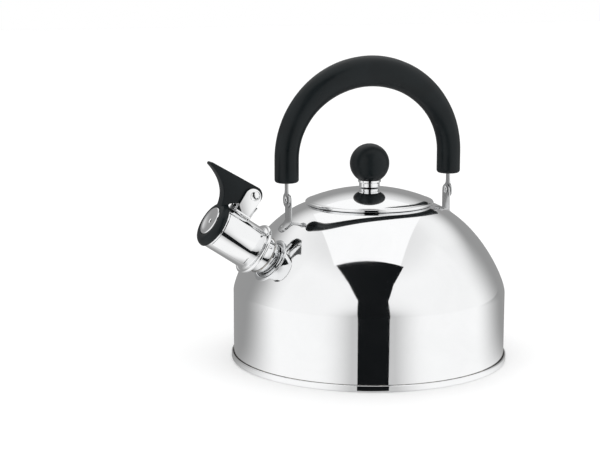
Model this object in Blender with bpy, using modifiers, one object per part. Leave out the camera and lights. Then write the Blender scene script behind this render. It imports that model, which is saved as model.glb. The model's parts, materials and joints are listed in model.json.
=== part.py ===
"""Stovetop whistling kettle: steel body, lift-off lid, swinging bail handle and a sprung whistle cap.

Frame: +Z up, origin at the centre of the base's resting face, spout towards -X, bail pivot axis along X.
The front of the kettle is its spout side and the rear is the side opposite the spout.
"""

from math import acos, atan2, ceil, cos, degrees, pi, radians, sin, sqrt, tan

import bmesh
import bpy
from mathutils import Vector

MM = 0.001

# Fits and sheet
GAP = 0.3 * MM                  # between pieces that touch
SHEET = 0.8 * MM                # steel sheet of the body, base, stub and tube
LUG_SHEET = 1.2 * MM            # steel strip of the bail's legs and brackets

# Body
BODY_RADIUS = 107.0 * MM
WALL_HEIGHT = 54.0 * MM         # where the straight wall turns into the dome
DOME_RISE = 69.1 * MM           # from the top of the wall to the lip of the mouth
SHOULDER_PULL = 10.0 * MM       # length of the dome curve's handle at the wall
CROWN_PULL = 39.3 * MM          # length of the dome curve's handle at the mouth
CROWN_SLOPE_DEG = 13.8          # fall of the dome beside the mouth
MOUTH_RADIUS = 44.0 * MM        # clear radius of the lid opening
MOUTH_LIP = 2.0 * MM            # radius of the rolled lip
NECK_DEPTH = 6.0 * MM           # length of the neck below the lip

# Base
BEAD_PROUD = 1.75 * MM          # the seam bead beyond the wall
BEAD_HEIGHT = 4.0 * MM
BEAD_LIFT = 0.6 * MM            # underside of the bead above the resting face
DISC_RADIUS = 97.5 * MM
DISC_THICKNESS = 4.0 * MM

# Spout stub and whistle tube
SPOUT_RISE_DEG = 33.6
SPOUT_REACH = 91.1 * MM         # distance from the kettle's axis to where the spout's axis leaves the dome
STUB_RADIUS = 14.2 * MM
STUB_SHOWN = 7.3 * MM           # stub between the dome and the whistle tube, along the axis
STUB_INSET = 3.5 * MM           # stub inside the dome
STUB_OVERLAP = 18.0 * MM        # stub inside the whistle tube
SLEEVE_SHEET = 1.6 * MM         # friction sleeve between the stub and the whistle tube
SLEEVE_LENGTH = 15.0 * MM
SLEEVE_INSET = 1.5 * MM         # sleeve in from the tube's flanged end
TUBE_LENGTH = 39.0 * MM
FLANGE_PROUD = 3.6 * MM         # flange beyond the tube's radius
FLANGE_BEAD = 1.4 * MM          # radius of the flange's rolled edge
FLANGE_DEPTH = 4.2 * MM         # length of the flare and its edge, along the tube

# Whistle bracket, on top of the tube
SADDLE_SHEET = 1.0 * MM
SADDLE_FRONT = 1.0 * MM         # behind the tube's mouth
SADDLE_SPREAD_DEG = 47.0        # saddle to each side of the tube's top
EAR_SPREAD = 14.4 * MM          # across the outsides of the ears
EAR_WIDTH = 13.4 * MM
EAR_FRONT = 5.6 * MM            # ears behind the tube's mouth
EAR_ABOVE_TUBE = 21.8 * MM
PIVOT_BACK = 13.4 * MM          # lever pin behind the tube's mouth
PIVOT_ABOVE_TUBE = 16.9 * MM
TAB_WIDTH = 5.0 * MM            # spring anchor tab behind the lever
TAB_BACK = 7.6 * MM             # tab behind the lever pin
TAB_ABOVE_TUBE = 10.7 * MM
TAB_LEAN = 1.3 * MM             # top of the tab behind its foot
LEVER_PIN_RADIUS = 1.5 * MM
PIN_HEAD_RADIUS = 3.8 * MM
PIN_HEAD_HEIGHT = 1.5 * MM

# Whistle lever
CAP_OVERHANG = 1.0 * MM         # cap beyond the tube's radius
CAP_LENGTH = 5.5 * MM
CAP_EDGE = 5.0 * MM             # rounding of the cap's front edge
WEB_WIDTH = 9.4 * MM
HUB_RADIUS = 7.2 * MM
THUMB_REACH = 41.8 * MM         # from the pin to the centre of the thumb tab's tip
THUMB_LIFT = 3.2 * MM
THUMB_TIP = 1.3 * MM            # radius of the tip
THUMB_PULL = 10.8 * MM          # length of the front curve's handle at the tip
THUMB_FALL = 0.39               # slope of that handle
NECK_PULL = 12.8 * MM           # length of the front curve's handle at the cap
NECK_ROOT = 4.5 * MM            # neck let into the cap's radius
CAPSULE_RADIUS = 11.3 * MM
CAPSULE_LIFT = 1.0 * MM         # capsule's axis above the tube's axis
CAPSULE_PROUD = 0.5 * MM        # capsule in front of the cap
CAPSULE_SHEET = 0.6 * MM
CAPSULE_PLATE = 2.0 * MM        # back plate in from the capsule's rear edge
WHISTLE_HOLE = 1.3 * MM         # radius of the hole in each whistle plate

# Whistle spring
SPRING_WIRE = 0.35 * MM         # wire radius
SPRING_RADIUS = 2.9 * MM        # mean radius of the coil
SPRING_TURNS = 3                # less the part turn that leaves the rear leg sloping
SPRING_PITCH = 1.0 * MM
SPRING_LEG = 8.0 * MM           # leg that presses the lever shut
SPRING_SLOPE_DEG = 40.0         # fall of the rear leg towards its tab

# Lid and knob
LID_OVERHANG = 6.3 * MM         # lid beyond the mouth
LID_CROWN = 125.0 * MM          # radius of the lid's curvature
LID_EDGE = 1.3 * MM             # radius of the rolled rim
LID_SHEET = 0.7 * MM
SKIRT_CLEARANCE = 0.6 * MM      # between the lid's skirt and the mouth
SKIRT_DEPTH = 9.0 * MM
SKIRT_FLANGE = 5.0 * MM
FERRULE_RADIUS = 9.0 * MM
FERRULE_HEIGHT = 6.3 * MM
KNOB_RADIUS = 15.5 * MM
INSERT_RADIUS = 4.3 * MM
INSERT_LENGTH = 13.0 * MM
SCREW_RADIUS = 2.0 * MM
SCREW_HEAD_RADIUS = 4.5 * MM
SCREW_HEAD_HEIGHT = 2.4 * MM
WASHER_RADIUS = 6.0 * MM
WASHER_THICKNESS = 0.8 * MM

# Bail handle
BAIL_HALF_SPAN = 70.8 * MM      # from the kettle's axis to each leg
PIVOT_ABOVE_DOME = 18.8 * MM
GRIP_DROP = 13.5 * MM           # from the pivot up to the ends of the grip
GRIP_STRAIGHT = 17.7 * MM
GRIP_RISE = 65.4 * MM           # of the arch above its straight legs
GRIP_END_RADIUS = 9.4 * MM
GRIP_TOP_RADIUS = 12.0 * MM
GRIP_ROUNDING = 2.5 * MM
STRIP_WIDTH = 5.2 * MM
STRIP_EYE = 6.0 * MM            # radius of the eye around the rivet
STRIP_INSET = 16.0 * MM         # strip inside the grip

# Bail brackets
LUG_WIDTH = 11.0 * MM
LUG_TOP = 4.4 * MM              # lug above the pivot
FOOT_LENGTH = 10.5 * MM
RIVET_RADIUS = 2.0 * MM
RIVET_HEAD_RADIUS = 3.3 * MM
RIVET_HEAD_HEIGHT = 1.6 * MM

# Facets of the turned shapes
BODY_STEPS = 64
LID_STEPS = 44
TUBE_STEPS = 32
SMALL_STEPS = 20

# Places worked out from the sizes above
MOUTH_Z = WALL_HEIGHT + DOME_RISE
LID_RADIUS = MOUTH_RADIUS + LID_OVERHANG
SPOUT_RISE = radians(SPOUT_RISE_DEG)
TUBE_RADIUS = STUB_RADIUS + GAP + SLEEVE_SHEET + GAP + SHEET
FLANGE_RADIUS = TUBE_RADIUS + FLANGE_PROUD
CAP_RADIUS = TUBE_RADIUS + CAP_OVERHANG
PIVOT_UP = TUBE_RADIUS + PIVOT_ABOVE_TUBE
SADDLE_RADIUS = TUBE_RADIUS + GAP + SADDLE_SHEET
EAR_INSIDE = EAR_SPREAD / 2 - SADDLE_SHEET


# Outlines ---------------------------------------------------------------------------------------------------------

def arc(centre, radius, start_deg, end_deg, steps):
    """Points along an arc; angles run from the outline's first axis towards its second."""
    angles = [radians(start_deg + (end_deg - start_deg) * i / steps) for i in range(steps + 1)]
    return [(centre[0] + radius * cos(a), centre[1] + radius * sin(a)) for a in angles]


def bezier(start, pull_start, pull_end, end, steps):
    """Points along a cubic Bezier curve."""
    points = []
    for i in range(steps + 1):
        t = i / steps
        weights = ((1 - t) ** 3, 3 * t * (1 - t) ** 2, 3 * t * t * (1 - t), t ** 3)
        corners = (start, pull_start, pull_end, end)
        points.append(tuple(sum(w * c[k] for w, c in zip(weights, corners)) for k in (0, 1)))
    return points


def offset(points, distance):
    """The same run of points moved to the left of its direction of travel."""
    moved = []
    for i, (x, y) in enumerate(points):
        before = points[max(i - 1, 0)]
        after = points[min(i + 1, len(points) - 1)]
        run = (after[0] - before[0], after[1] - before[1])
        length = sqrt(run[0] ** 2 + run[1] ** 2)
        moved.append((x - run[1] / length * distance, y + run[0] / length * distance))
    return moved


def signed_area(points):
    pairs = zip(points, points[1:] + points[:1])
    return sum(a[0] * b[1] - b[0] * a[1] for a, b in pairs) / 2


def dome_curve(steps):
    """The dome's outer surface as (radius, height), from the mouth's lip out to the wall."""
    slope = radians(CROWN_SLOPE_DEG)
    lip = (MOUTH_RADIUS + MOUTH_LIP, MOUTH_Z)
    crown = (lip[0] + CROWN_PULL * cos(slope), lip[1] - CROWN_PULL * sin(slope))
    shoulder = (BODY_RADIUS, WALL_HEIGHT + SHOULDER_PULL)
    return bezier(lip, crown, shoulder, (BODY_RADIUS, WALL_HEIGHT), steps)


def dome_height(radius):
    """Height of the dome's outer surface at a distance from the kettle's axis."""
    curve = dome_curve(400)
    for (r0, z0), (r1, z1) in zip(curve, curve[1:]):
        if r0 <= radius <= r1:
            return z0 + (z1 - z0) * (radius - r0) / max(r1 - r0, 1e-9)
    return MOUTH_Z


def dome_fall(radius):
    """Angle of the dome's surface below the horizontal at a distance from the kettle's axis."""
    step = 2 * MM
    return atan2(dome_height(radius - step) - dome_height(radius + step), 2 * step)


def lid_height(radius):
    """Height of the lid's upper surface at a distance from the kettle's axis."""
    rim = LID_RADIUS - LID_EDGE
    rim_z = dome_height(rim) + GAP + 2 * LID_EDGE
    return rim_z + sqrt(LID_CROWN ** 2 - radius ** 2) - sqrt(LID_CROWN ** 2 - rim ** 2)


# Scene, materials and objects ------------------------------------------------------------------------------------

def clear_scene():
    for old in list(bpy.data.objects):
        bpy.data.objects.remove(old)


def new_collection(name):
    collection = bpy.data.collections.new(name)
    bpy.context.scene.collection.children.link(collection)
    return collection


def material(name, colour, roughness, metallic):
    look = bpy.data.materials.new(name)
    look.use_nodes = True
    shader = look.node_tree.nodes["Principled BSDF"]
    shader.inputs["Base Color"].default_value = (*colour, 1.0)
    shader.inputs["Roughness"].default_value = roughness
    shader.inputs["Metallic"].default_value = metallic
    return look


clear_scene()
KETTLE = new_collection("whistling_kettle")
CUTTERS = new_collection("cutters")

POLISHED_STEEL = ((0.78, 0.78, 0.79), 0.08, 1.0)
SATIN_STEEL = ((0.70, 0.70, 0.71), 0.30, 1.0)
ALUMINIUM = ((0.62, 0.62, 0.63), 0.45, 1.0)
CHROME = ((0.82, 0.82, 0.83), 0.05, 1.0)
BRASS = ((0.78, 0.60, 0.30), 0.35, 1.0)
BAKELITE = ((0.010, 0.012, 0.013), 0.32, 0.0)


def add(name, data, look=None, parent=None, place=(0, 0, 0), turn=(0, 0, 0)):
    """Put data in the scene as a named part with its own material, or as a hidden cutter when it has no look."""
    obj = bpy.data.objects.new(name, data)
    obj.parent = parent
    obj.location = place
    obj.rotation_euler = turn
    if look is None:
        CUTTERS.objects.link(obj)
        obj.hide_render = True
        obj.display_type = "WIRE"
    else:
        KETTLE.objects.link(obj)
        data.materials.append(material(name + "_finish", *look))
    return obj


def empty(name, place, turn=(0, 0, 0), parent=None):
    obj = bpy.data.objects.new(name, None)
    obj.parent = parent
    obj.location = place
    obj.rotation_euler = turn
    obj.empty_display_size = 10 * MM
    KETTLE.objects.link(obj)
    return obj


def turned(name, profile, steps, look=None, parent=None, place=(0, 0, 0), turn=(0, 0, 0)):
    """Turn a closed (radius, height) outline about the object's Z axis with a Screw modifier."""
    if signed_area(profile) > 0:
        profile = profile[::-1]
    mesh = bpy.data.meshes.new(name)
    edges = [(i, (i + 1) % len(profile)) for i in range(len(profile))]
    edges = [(i, j) for i, j in edges if profile[i][0] > 0 or profile[j][0] > 0]
    mesh.from_pydata([(r, 0, z) for r, z in profile], edges, [])
    obj = add(name, mesh, look, parent, place, turn)
    screw = obj.modifiers.new("turn", "SCREW")
    screw.axis = "Z"
    screw.steps = steps
    screw.render_steps = steps
    screw.use_merge_vertices = True
    screw.merge_threshold = 1e-5
    return obj


def as_mesh(curve_object):
    """Swap a curve object for a mesh object whose caps are welded to its sides."""
    bpy.context.view_layer.update()
    evaluated = curve_object.evaluated_get(bpy.context.evaluated_depsgraph_get())
    mesh = bpy.data.meshes.new_from_object(evaluated)
    shape = bmesh.new()
    shape.from_mesh(mesh)
    bmesh.ops.remove_doubles(shape, verts=shape.verts, dist=1e-6)
    bmesh.ops.recalc_face_normals(shape, faces=shape.faces)
    shape.to_mesh(mesh)
    shape.free()
    name = curve_object.name
    curve_object.name = name + "_curve"
    obj = bpy.data.objects.new(name, mesh)
    for collection in curve_object.users_collection:
        collection.objects.link(obj)
    obj.hide_render = curve_object.hide_render
    obj.display_type = curve_object.display_type
    obj.parent = curve_object.parent
    bpy.context.view_layer.update()
    obj.matrix_world = curve_object.matrix_world.copy()
    bpy.data.objects.remove(curve_object)
    return obj


def plate(name, outline, thickness, look=None, parent=None, place=(0, 0, 0), turn=(0, 0, 0)):
    """A flat plate: an outline in the object's XY plane, half its thickness to each side of that plane."""
    curve = bpy.data.curves.new(name, "CURVE")
    curve.dimensions = "2D"
    curve.fill_mode = "BOTH"
    curve.extrude = thickness / 2
    spline = curve.splines.new("POLY")
    spline.points.add(len(outline) - 1)
    for point, (x, y) in zip(spline.points, outline):
        point.co = (x, y, 0, 1)
    spline.use_cyclic_u = True
    return as_mesh(add(name, curve, look, parent, place, turn))


def bar(name, path, radius, resolution, look=None, parent=None, radii=None):
    """A round bar along a path of points, with filled caps."""
    curve = bpy.data.curves.new(name, "CURVE")
    curve.dimensions = "3D"
    curve.bevel_depth = radius
    curve.bevel_resolution = resolution
    curve.use_fill_caps = True
    spline = curve.splines.new("POLY")
    spline.points.add(len(path) - 1)
    for i, (point, place) in enumerate(zip(spline.points, path)):
        point.co = (*place, 1)
        point.radius = radii[i] if radii else 1.0
    return as_mesh(add(name, curve, look, parent))


def primitive(name, build, look=None, parent=None, place=(0, 0, 0), turn=(0, 0, 0)):
    """A mesh object from a function that fills a bmesh with one primitive."""
    mesh = bpy.data.meshes.new(name)
    shape = bmesh.new()
    build(shape)
    shape.to_mesh(mesh)
    shape.free()
    return add(name, mesh, look, parent, place, turn)


def cylinder(name, radius, length, steps, look=None, parent=None, place=(0, 0, 0), turn=(0, 0, 0)):
    """A cylinder centred on its object, along the object's Z axis."""
    def build(shape):
        bmesh.ops.create_cone(shape, cap_ends=True, segments=steps, radius1=radius, radius2=radius, depth=length)
    return primitive(name, build, look, parent, place, turn)


def box(name, low, high, look=None, parent=None):
    """A box between two corners of its parent's frame."""
    size = [b - a for a, b in zip(low, high)]
    middle = [(a + b) / 2 for a, b in zip(low, high)]

    def build(shape):
        bmesh.ops.create_cube(shape, size=1.0)
        bmesh.ops.scale(shape, vec=size, verts=shape.verts)
    return primitive(name, build, look, parent, middle)


def boolean(obj, tool, operation):
    modifier = obj.modifiers.new(tool.name, "BOOLEAN")
    modifier.operation = operation
    modifier.solver = "EXACT"
    modifier.object = tool


def cut(obj, *tools):
    for tool in tools:
        boolean(obj, tool, "DIFFERENCE")


def join(obj, *tools):
    for tool in tools:
        boolean(obj, tool, "UNION")


UPRIGHT_XZ = (pi / 2, 0, 0)         # stands a plate's outline up in its parent's XZ plane
UPRIGHT_YZ = (pi / 2, 0, pi / 2)    # stands a plate's outline up in its parent's YZ plane
ALONG_X = (0, pi / 2, 0)            # lays a turned shape's axis along its parent's X
ALONG_Y = (-pi / 2, 0, 0)           # lays a turned shape's axis along its parent's Y


# Body and base ----------------------------------------------------------------------------------------------------

def body_shell():
    """Wall and dome in one drawn sheet, with a rolled lip and a short neck around the lid's opening."""
    dome = dome_curve(10)
    inner_dome = [p for p in offset(dome, -SHEET)]
    inner_dome[0] = (MOUTH_RADIUS + MOUTH_LIP, MOUTH_Z - SHEET)
    inner_dome[-1] = (BODY_RADIUS - SHEET, WALL_HEIGHT)
    foot_z = BEAD_LIFT + SHEET + GAP
    lip_centre = (MOUTH_RADIUS + MOUTH_LIP, MOUTH_Z - MOUTH_LIP)
    lip_outside = arc(lip_centre, MOUTH_LIP, 180, 90, 3)[:-1]
    lip_inside = arc(lip_centre, MOUTH_LIP - SHEET, 90, 180, 3)[1:]
    neck_z = MOUTH_Z - NECK_DEPTH
    profile = [(MOUTH_RADIUS, neck_z), *lip_outside, *dome, (BODY_RADIUS, foot_z), (BODY_RADIUS - SHEET, foot_z)]
    profile += [*inner_dome[::-1], *lip_inside, (MOUTH_RADIUS + SHEET, neck_z)]
    shell = turned("body_shell", profile, BODY_STEPS, POLISHED_STEEL)
    hole = cylinder("spout_hole", STUB_RADIUS + GAP, 30 * MM, TUBE_STEPS, None, SPOUT, (SHOWN_TO_DOME, 0, 0), ALONG_X)
    cut(shell, hole)


def base_pan():
    """Base sheet, seamed around the foot of the wall and raised over the heat spreader disc."""
    raised = DISC_THICKNESS + GAP
    step = 1.5 * MM
    inside = DISC_RADIUS + GAP + step
    bead_inside = BODY_RADIUS + GAP
    bead_outside = BODY_RADIUS + BEAD_PROUD
    bead_top = BEAD_LIFT + BEAD_HEIGHT
    rounding = (bead_outside - bead_inside) / 2
    crest = arc((bead_inside + rounding, bead_top - rounding), rounding, 180, 0, 4)
    toe = arc((bead_outside - SHEET, BEAD_LIFT + SHEET), SHEET, 0, -90, 3)
    profile = [(0, raised + SHEET), (inside, raised + SHEET), (inside + step, BEAD_LIFT + SHEET)]
    profile += [(bead_inside, BEAD_LIFT + SHEET), *crest, *toe]
    profile += [(inside + step - SHEET, BEAD_LIFT), (inside - SHEET, raised), (0, raised)]
    turned("base_pan", profile, BODY_STEPS, POLISHED_STEEL)


def heat_disc():
    """Aluminium disc bonded under the base, whose lower face is the resting face."""
    chamfer = 1.0 * MM
    edge = [(DISC_RADIUS, DISC_THICKNESS), (DISC_RADIUS, chamfer), (DISC_RADIUS - chamfer, 0)]
    turned("heat_disc", [(0, DISC_THICKNESS), *edge, (0, 0)], BODY_STEPS, ALUMINIUM)


def spout_stub():
    """Short tube welded into the dome, over which the whistle tube slips."""
    inner = STUB_RADIUS - SHEET
    back = TUBE_LENGTH + STUB_SHOWN + STUB_INSET
    front = TUBE_LENGTH - STUB_OVERLAP
    profile = [(inner, -front), (STUB_RADIUS, -front), (STUB_RADIUS, -back), (inner, -back)]
    turned("spout_stub", profile, TUBE_STEPS, POLISHED_STEEL, SPOUT, (0, 0, 0), BACKWARDS)


# Whistle unit -------------------------------------------------------------------------------------------------------

def whistle_tube():
    """Tube that slips over the stub, with a flared and rolled flange at its lower end."""
    inner = TUBE_RADIUS - SHEET
    end = -TUBE_LENGTH
    bead = arc((FLANGE_RADIUS - FLANGE_BEAD, end + FLANGE_BEAD), FLANGE_BEAD, 110, -90, 6)
    flare_z = end + FLANGE_DEPTH
    profile = [(inner, 0), (TUBE_RADIUS, 0), (TUBE_RADIUS, flare_z), (TUBE_RADIUS + 0.8 * MM, flare_z - 1.0 * MM)]
    profile += [*bead, (TUBE_RADIUS, end), (inner, end + 1.2 * MM)]
    turned("whistle_tube", profile, TUBE_STEPS, POLISHED_STEEL, SPOUT, (0, 0, 0), BACKWARDS)


def friction_sleeve():
    """Sleeve inside the whistle tube, which makes it a push fit on the stub."""
    inner = STUB_RADIUS + GAP
    outer = TUBE_RADIUS - SHEET - GAP
    back = TUBE_LENGTH - SLEEVE_INSET
    front = back - SLEEVE_LENGTH
    profile = [(inner, -front), (outer, -front), (outer, -back), (inner, -back)]
    turned("friction_sleeve", profile, TUBE_STEPS, SATIN_STEEL, SPOUT, (0, 0, 0), BACKWARDS)


def lever_bracket():
    """Saddle spot-welded on the tube, with two ears for the lever pin and a tab that anchors the spring."""
    root = SADDLE_RADIUS - SADDLE_SHEET / 2
    ear_radius = EAR_WIDTH / 2
    crest_centre = (EAR_FRONT + ear_radius, TUBE_RADIUS + EAR_ABOVE_TUBE - ear_radius)
    outline = [(EAR_FRONT, root / 2), (EAR_FRONT + EAR_WIDTH, root / 2), *arc(crest_centre, ear_radius, 0, 180, 12)]
    bracket = plate("lever_bracket", outline, EAR_SPREAD, SATIN_STEEL, SPOUT, (0, 0, 0), UPRIGHT_XZ)
    room = box("ear_room", (0, -EAR_INSIDE, 0), (TUBE_LENGTH, EAR_INSIDE, 2 * PIVOT_UP), None, SPOUT)
    trim = cylinder("ear_trim", root, 4 * TUBE_LENGTH, TUBE_STEPS, None, SPOUT, (0, 0, 0), ALONG_X)
    cut(bracket, room, trim)

    back = TUBE_LENGTH - FLANGE_DEPTH - GAP
    inner = SADDLE_RADIUS - SADDLE_SHEET
    ring = [(inner, -SADDLE_FRONT), (SADDLE_RADIUS, -SADDLE_FRONT), (SADDLE_RADIUS, -back), (inner, -back)]
    saddle = turned("bracket_saddle", ring, TUBE_STEPS, None, SPOUT, (0, 0, 0), BACKWARDS)
    wide = 2 * TUBE_RADIUS
    edge_up = SADDLE_RADIUS * cos(radians(SADDLE_SPREAD_DEG))
    cut(saddle, box("saddle_trim", (-wide, -wide, -wide), (2 * wide, wide, edge_up), None, SPOUT))

    foot = PIVOT_BACK + TAB_BACK
    middle = [(foot, root), (foot, SADDLE_RADIUS + SHEET), (foot + TAB_LEAN, TUBE_RADIUS + TAB_ABOVE_TUBE)]
    tab_outline = offset(middle, SHEET / 2) + offset(middle, -SHEET / 2)[::-1]
    tab = plate("spring_tab", tab_outline, TAB_WIDTH, None, SPOUT, (0, 0, 0), UPRIGHT_XZ)
    join(bracket, saddle, tab)
    cut(bracket, cylinder("ear_bore", LEVER_PIN_RADIUS + GAP, 2 * EAR_SPREAD, SMALL_STEPS, None, LEVER,
                          (0, 0, 0), ALONG_Y))


def rivet_profile(radius, grip, head_radius, head_height):
    """Outline of a rivet with a domed head at each end, centred on the middle of its grip."""
    half = grip / 2
    crown = (head_radius ** 2 + head_height ** 2) / (2 * head_height)
    sweep = degrees(acos(1 - head_height / crown))
    top = arc((0, half + head_height - crown), crown, 90, 90 - sweep, 3)
    top[0] = (0, half + head_height)
    bottom = [(r, -z) for r, z in top[::-1]]
    return [*top, (radius, half), (radius, -half), *bottom]


def lever_pin():
    profile = rivet_profile(LEVER_PIN_RADIUS, EAR_SPREAD + 2 * GAP, PIN_HEAD_RADIUS, PIN_HEAD_HEIGHT)
    turned("lever_pin", profile, SMALL_STEPS, SATIN_STEEL, LEVER, (0, 0, 0), ALONG_Y)


def lever_spring():
    """Torsion spring around the pin: one leg behind, on the bracket's tab, and one ahead, in the lever's pocket."""
    half = SPRING_TURNS * SPRING_PITCH / 2
    points_per_turn = 10
    slope = radians(SPRING_SLOPE_DEG)
    start = -pi / 2 - slope
    end = -pi / 2 - 2 * pi * SPRING_TURNS
    count = ceil((start - end) / (2 * pi) * points_per_turn)
    leaves = (SPRING_RADIUS * cos(start), SPRING_RADIUS * sin(start))
    reach = TAB_BACK + TAB_LEAN / 2 - SHEET / 2 - GAP - SPRING_WIRE
    path = [(reach, -half, leaves[1] - (reach - leaves[0]) * tan(slope))]
    for i in range(count + 1):
        angle = start + (end - start) * i / count
        path.append((SPRING_RADIUS * cos(angle), 2 * half * i / count - half, SPRING_RADIUS * sin(angle)))
    path.append((-SPRING_LEG, half, -SPRING_RADIUS))
    bar("lever_spring", path, SPRING_WIRE, 2, SATIN_STEEL, LEVER)


def lever_outline():
    """Side view of the lever's web, around the pin: hub, thumb tab and the neck down to the cap."""
    tip = arc((-THUMB_REACH, THUMB_LIFT), THUMB_TIP, 90, 265, 5)
    hub = arc((0, 0), HUB_RADIUS, -80, 85, 10)
    root_up = CAP_RADIUS - PIVOT_UP - NECK_ROOT
    neck_front = (-PIVOT_BACK - CAP_LENGTH, root_up)
    pull_tip = (-THUMB_REACH + THUMB_PULL, THUMB_LIFT - THUMB_PULL * THUMB_FALL)
    front = bezier(tip[-1], pull_tip, (neck_front[0] - 1.5 * MM, root_up + NECK_PULL), neck_front, 8)[1:]
    over_saddle = SADDLE_RADIUS + 2 * GAP - PIVOT_UP
    neck_back = [(-PIVOT_BACK - GAP, root_up), (-PIVOT_BACK - GAP, over_saddle)]
    neck_back.append((EAR_FRONT - PIVOT_BACK - 1.0 * MM, over_saddle + 3.4 * MM))
    return [*tip, *front, *neck_back, *hub]


def whistle_lever():
    """Moulded lever: thumb tab, hub and neck in one web, and the cap that closes the tube's mouth."""
    web = plate("whistle_lever", lever_outline(), WEB_WIDTH, BAKELITE, LEVER, (0, 0, 0), UPRIGHT_XZ)
    edge = arc((CAP_RADIUS - CAP_EDGE, CAP_LENGTH - CAP_EDGE), CAP_EDGE, 0, 90, 6)
    cap_place = (-PIVOT_BACK, 0, -PIVOT_UP)
    profile = [(0, GAP), (CAP_RADIUS, GAP), *edge, (0, CAP_LENGTH)]
    cap = turned("lever_cap", profile, TUBE_STEPS, None, LEVER, cap_place, BACKWARDS)
    capsule_place = (-PIVOT_BACK, 0, CAPSULE_LIFT - PIVOT_UP)
    socket = cylinder("capsule_socket", CAPSULE_RADIUS + GAP, 4 * CAP_LENGTH, TUBE_STEPS, None, LEVER,
                      capsule_place, ALONG_X)
    bore = cylinder("hub_bore", LEVER_PIN_RADIUS + GAP, 2 * WEB_WIDTH, SMALL_STEPS, None, LEVER, (0, 0, 0), ALONG_Y)
    coil_room = SPRING_RADIUS + SPRING_WIRE + 2 * GAP
    coil_half = SPRING_TURNS * SPRING_PITCH / 2 + SPRING_WIRE + 2 * GAP
    coil = cylinder("coil_slot", coil_room, 2 * coil_half, SMALL_STEPS, None, LEVER, (0, 0, 0), ALONG_Y)
    slot_low = (-2 * GAP - SPRING_WIRE, -coil_half, -2 * HUB_RADIUS)
    slot = box("leg_slot", slot_low, (2 * HUB_RADIUS, coil_half, SPRING_RADIUS), None, LEVER)
    leg_y = SPRING_TURNS * SPRING_PITCH / 2
    leg_low = (-SPRING_LEG - 2 * GAP, leg_y - SPRING_WIRE - GAP, -SPRING_RADIUS - SPRING_WIRE - GAP)
    leg_high = (0, leg_y + SPRING_WIRE + GAP, -SPRING_RADIUS + SPRING_WIRE + GAP)
    pocket = box("leg_pocket", leg_low, leg_high, None, LEVER)
    join(web, cap)
    cut(web, socket, bore, coil, slot, pocket)


def whistle_capsule():
    """Front cup and back plate of the whistle, pressed into the cap, each with a sounding hole."""
    place = (-PIVOT_BACK, 0, CAPSULE_LIFT - PIVOT_UP)
    face = CAP_LENGTH + CAPSULE_PROUD
    back = GAP
    inner = CAPSULE_RADIUS - CAPSULE_SHEET
    rounding = 1.0 * MM
    edge = arc((CAPSULE_RADIUS - rounding, face - rounding), rounding, 90, 0, 3)
    inner_face = face - CAPSULE_SHEET
    cup = [(WHISTLE_HOLE, inner_face), (WHISTLE_HOLE, face), *edge, (CAPSULE_RADIUS, back), (inner, back)]
    cup += [(inner, inner_face - 0.4 * MM), (inner - 0.4 * MM, inner_face)]
    turned("whistle_cup", cup, TUBE_STEPS, CHROME, LEVER, place, BACKWARDS)
    outer = inner - GAP
    plate_back = back + CAPSULE_PLATE
    plate_front = plate_back + CAPSULE_SHEET
    disc = [(WHISTLE_HOLE, plate_front), (outer, plate_front), (outer, plate_back), (WHISTLE_HOLE, plate_back)]
    turned("whistle_back_plate", disc, TUBE_STEPS, SATIN_STEEL, LEVER, place, BACKWARDS)


# Lid and knob -------------------------------------------------------------------------------------------------------

def lid_shell():
    """Domed lid with a rolled rim and a hole for the knob's screw."""
    hole = SCREW_RADIUS + GAP
    rim = LID_RADIUS - LID_EDGE
    radii = [hole + (rim - hole) * i / 5 for i in range(6)]
    top = [(r, lid_height(r)) for r in radii]
    bead_centre = (rim, lid_height(rim) - LID_EDGE)
    bead = arc(bead_centre, LID_EDGE, 60, -180, 6)
    under = [(r, lid_height(r) - LID_SHEET) for r in [*radii[:-1], rim - LID_EDGE]]
    turned("lid_shell", [*top, *bead, *under[::-1]], LID_STEPS, POLISHED_STEEL, LID)


def lid_skirt():
    """Locating ring spot-welded under the lid, which drops into the body's mouth."""
    outer = MOUTH_RADIUS - SKIRT_CLEARANCE
    inner = outer - LID_SHEET
    flange = outer - SKIRT_FLANGE
    under = LID_SHEET + GAP
    low = lid_height(outer) - under - SKIRT_DEPTH
    top = [(flange, lid_height(flange) - under), (outer, lid_height(outer) - under)]
    below = [(inner, lid_height(inner) - under - LID_SHEET), (flange, lid_height(flange) - under - LID_SHEET)]
    turned("lid_skirt", [*top, (outer, low), (inner, low), *below], LID_STEPS, POLISHED_STEEL, LID)


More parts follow.
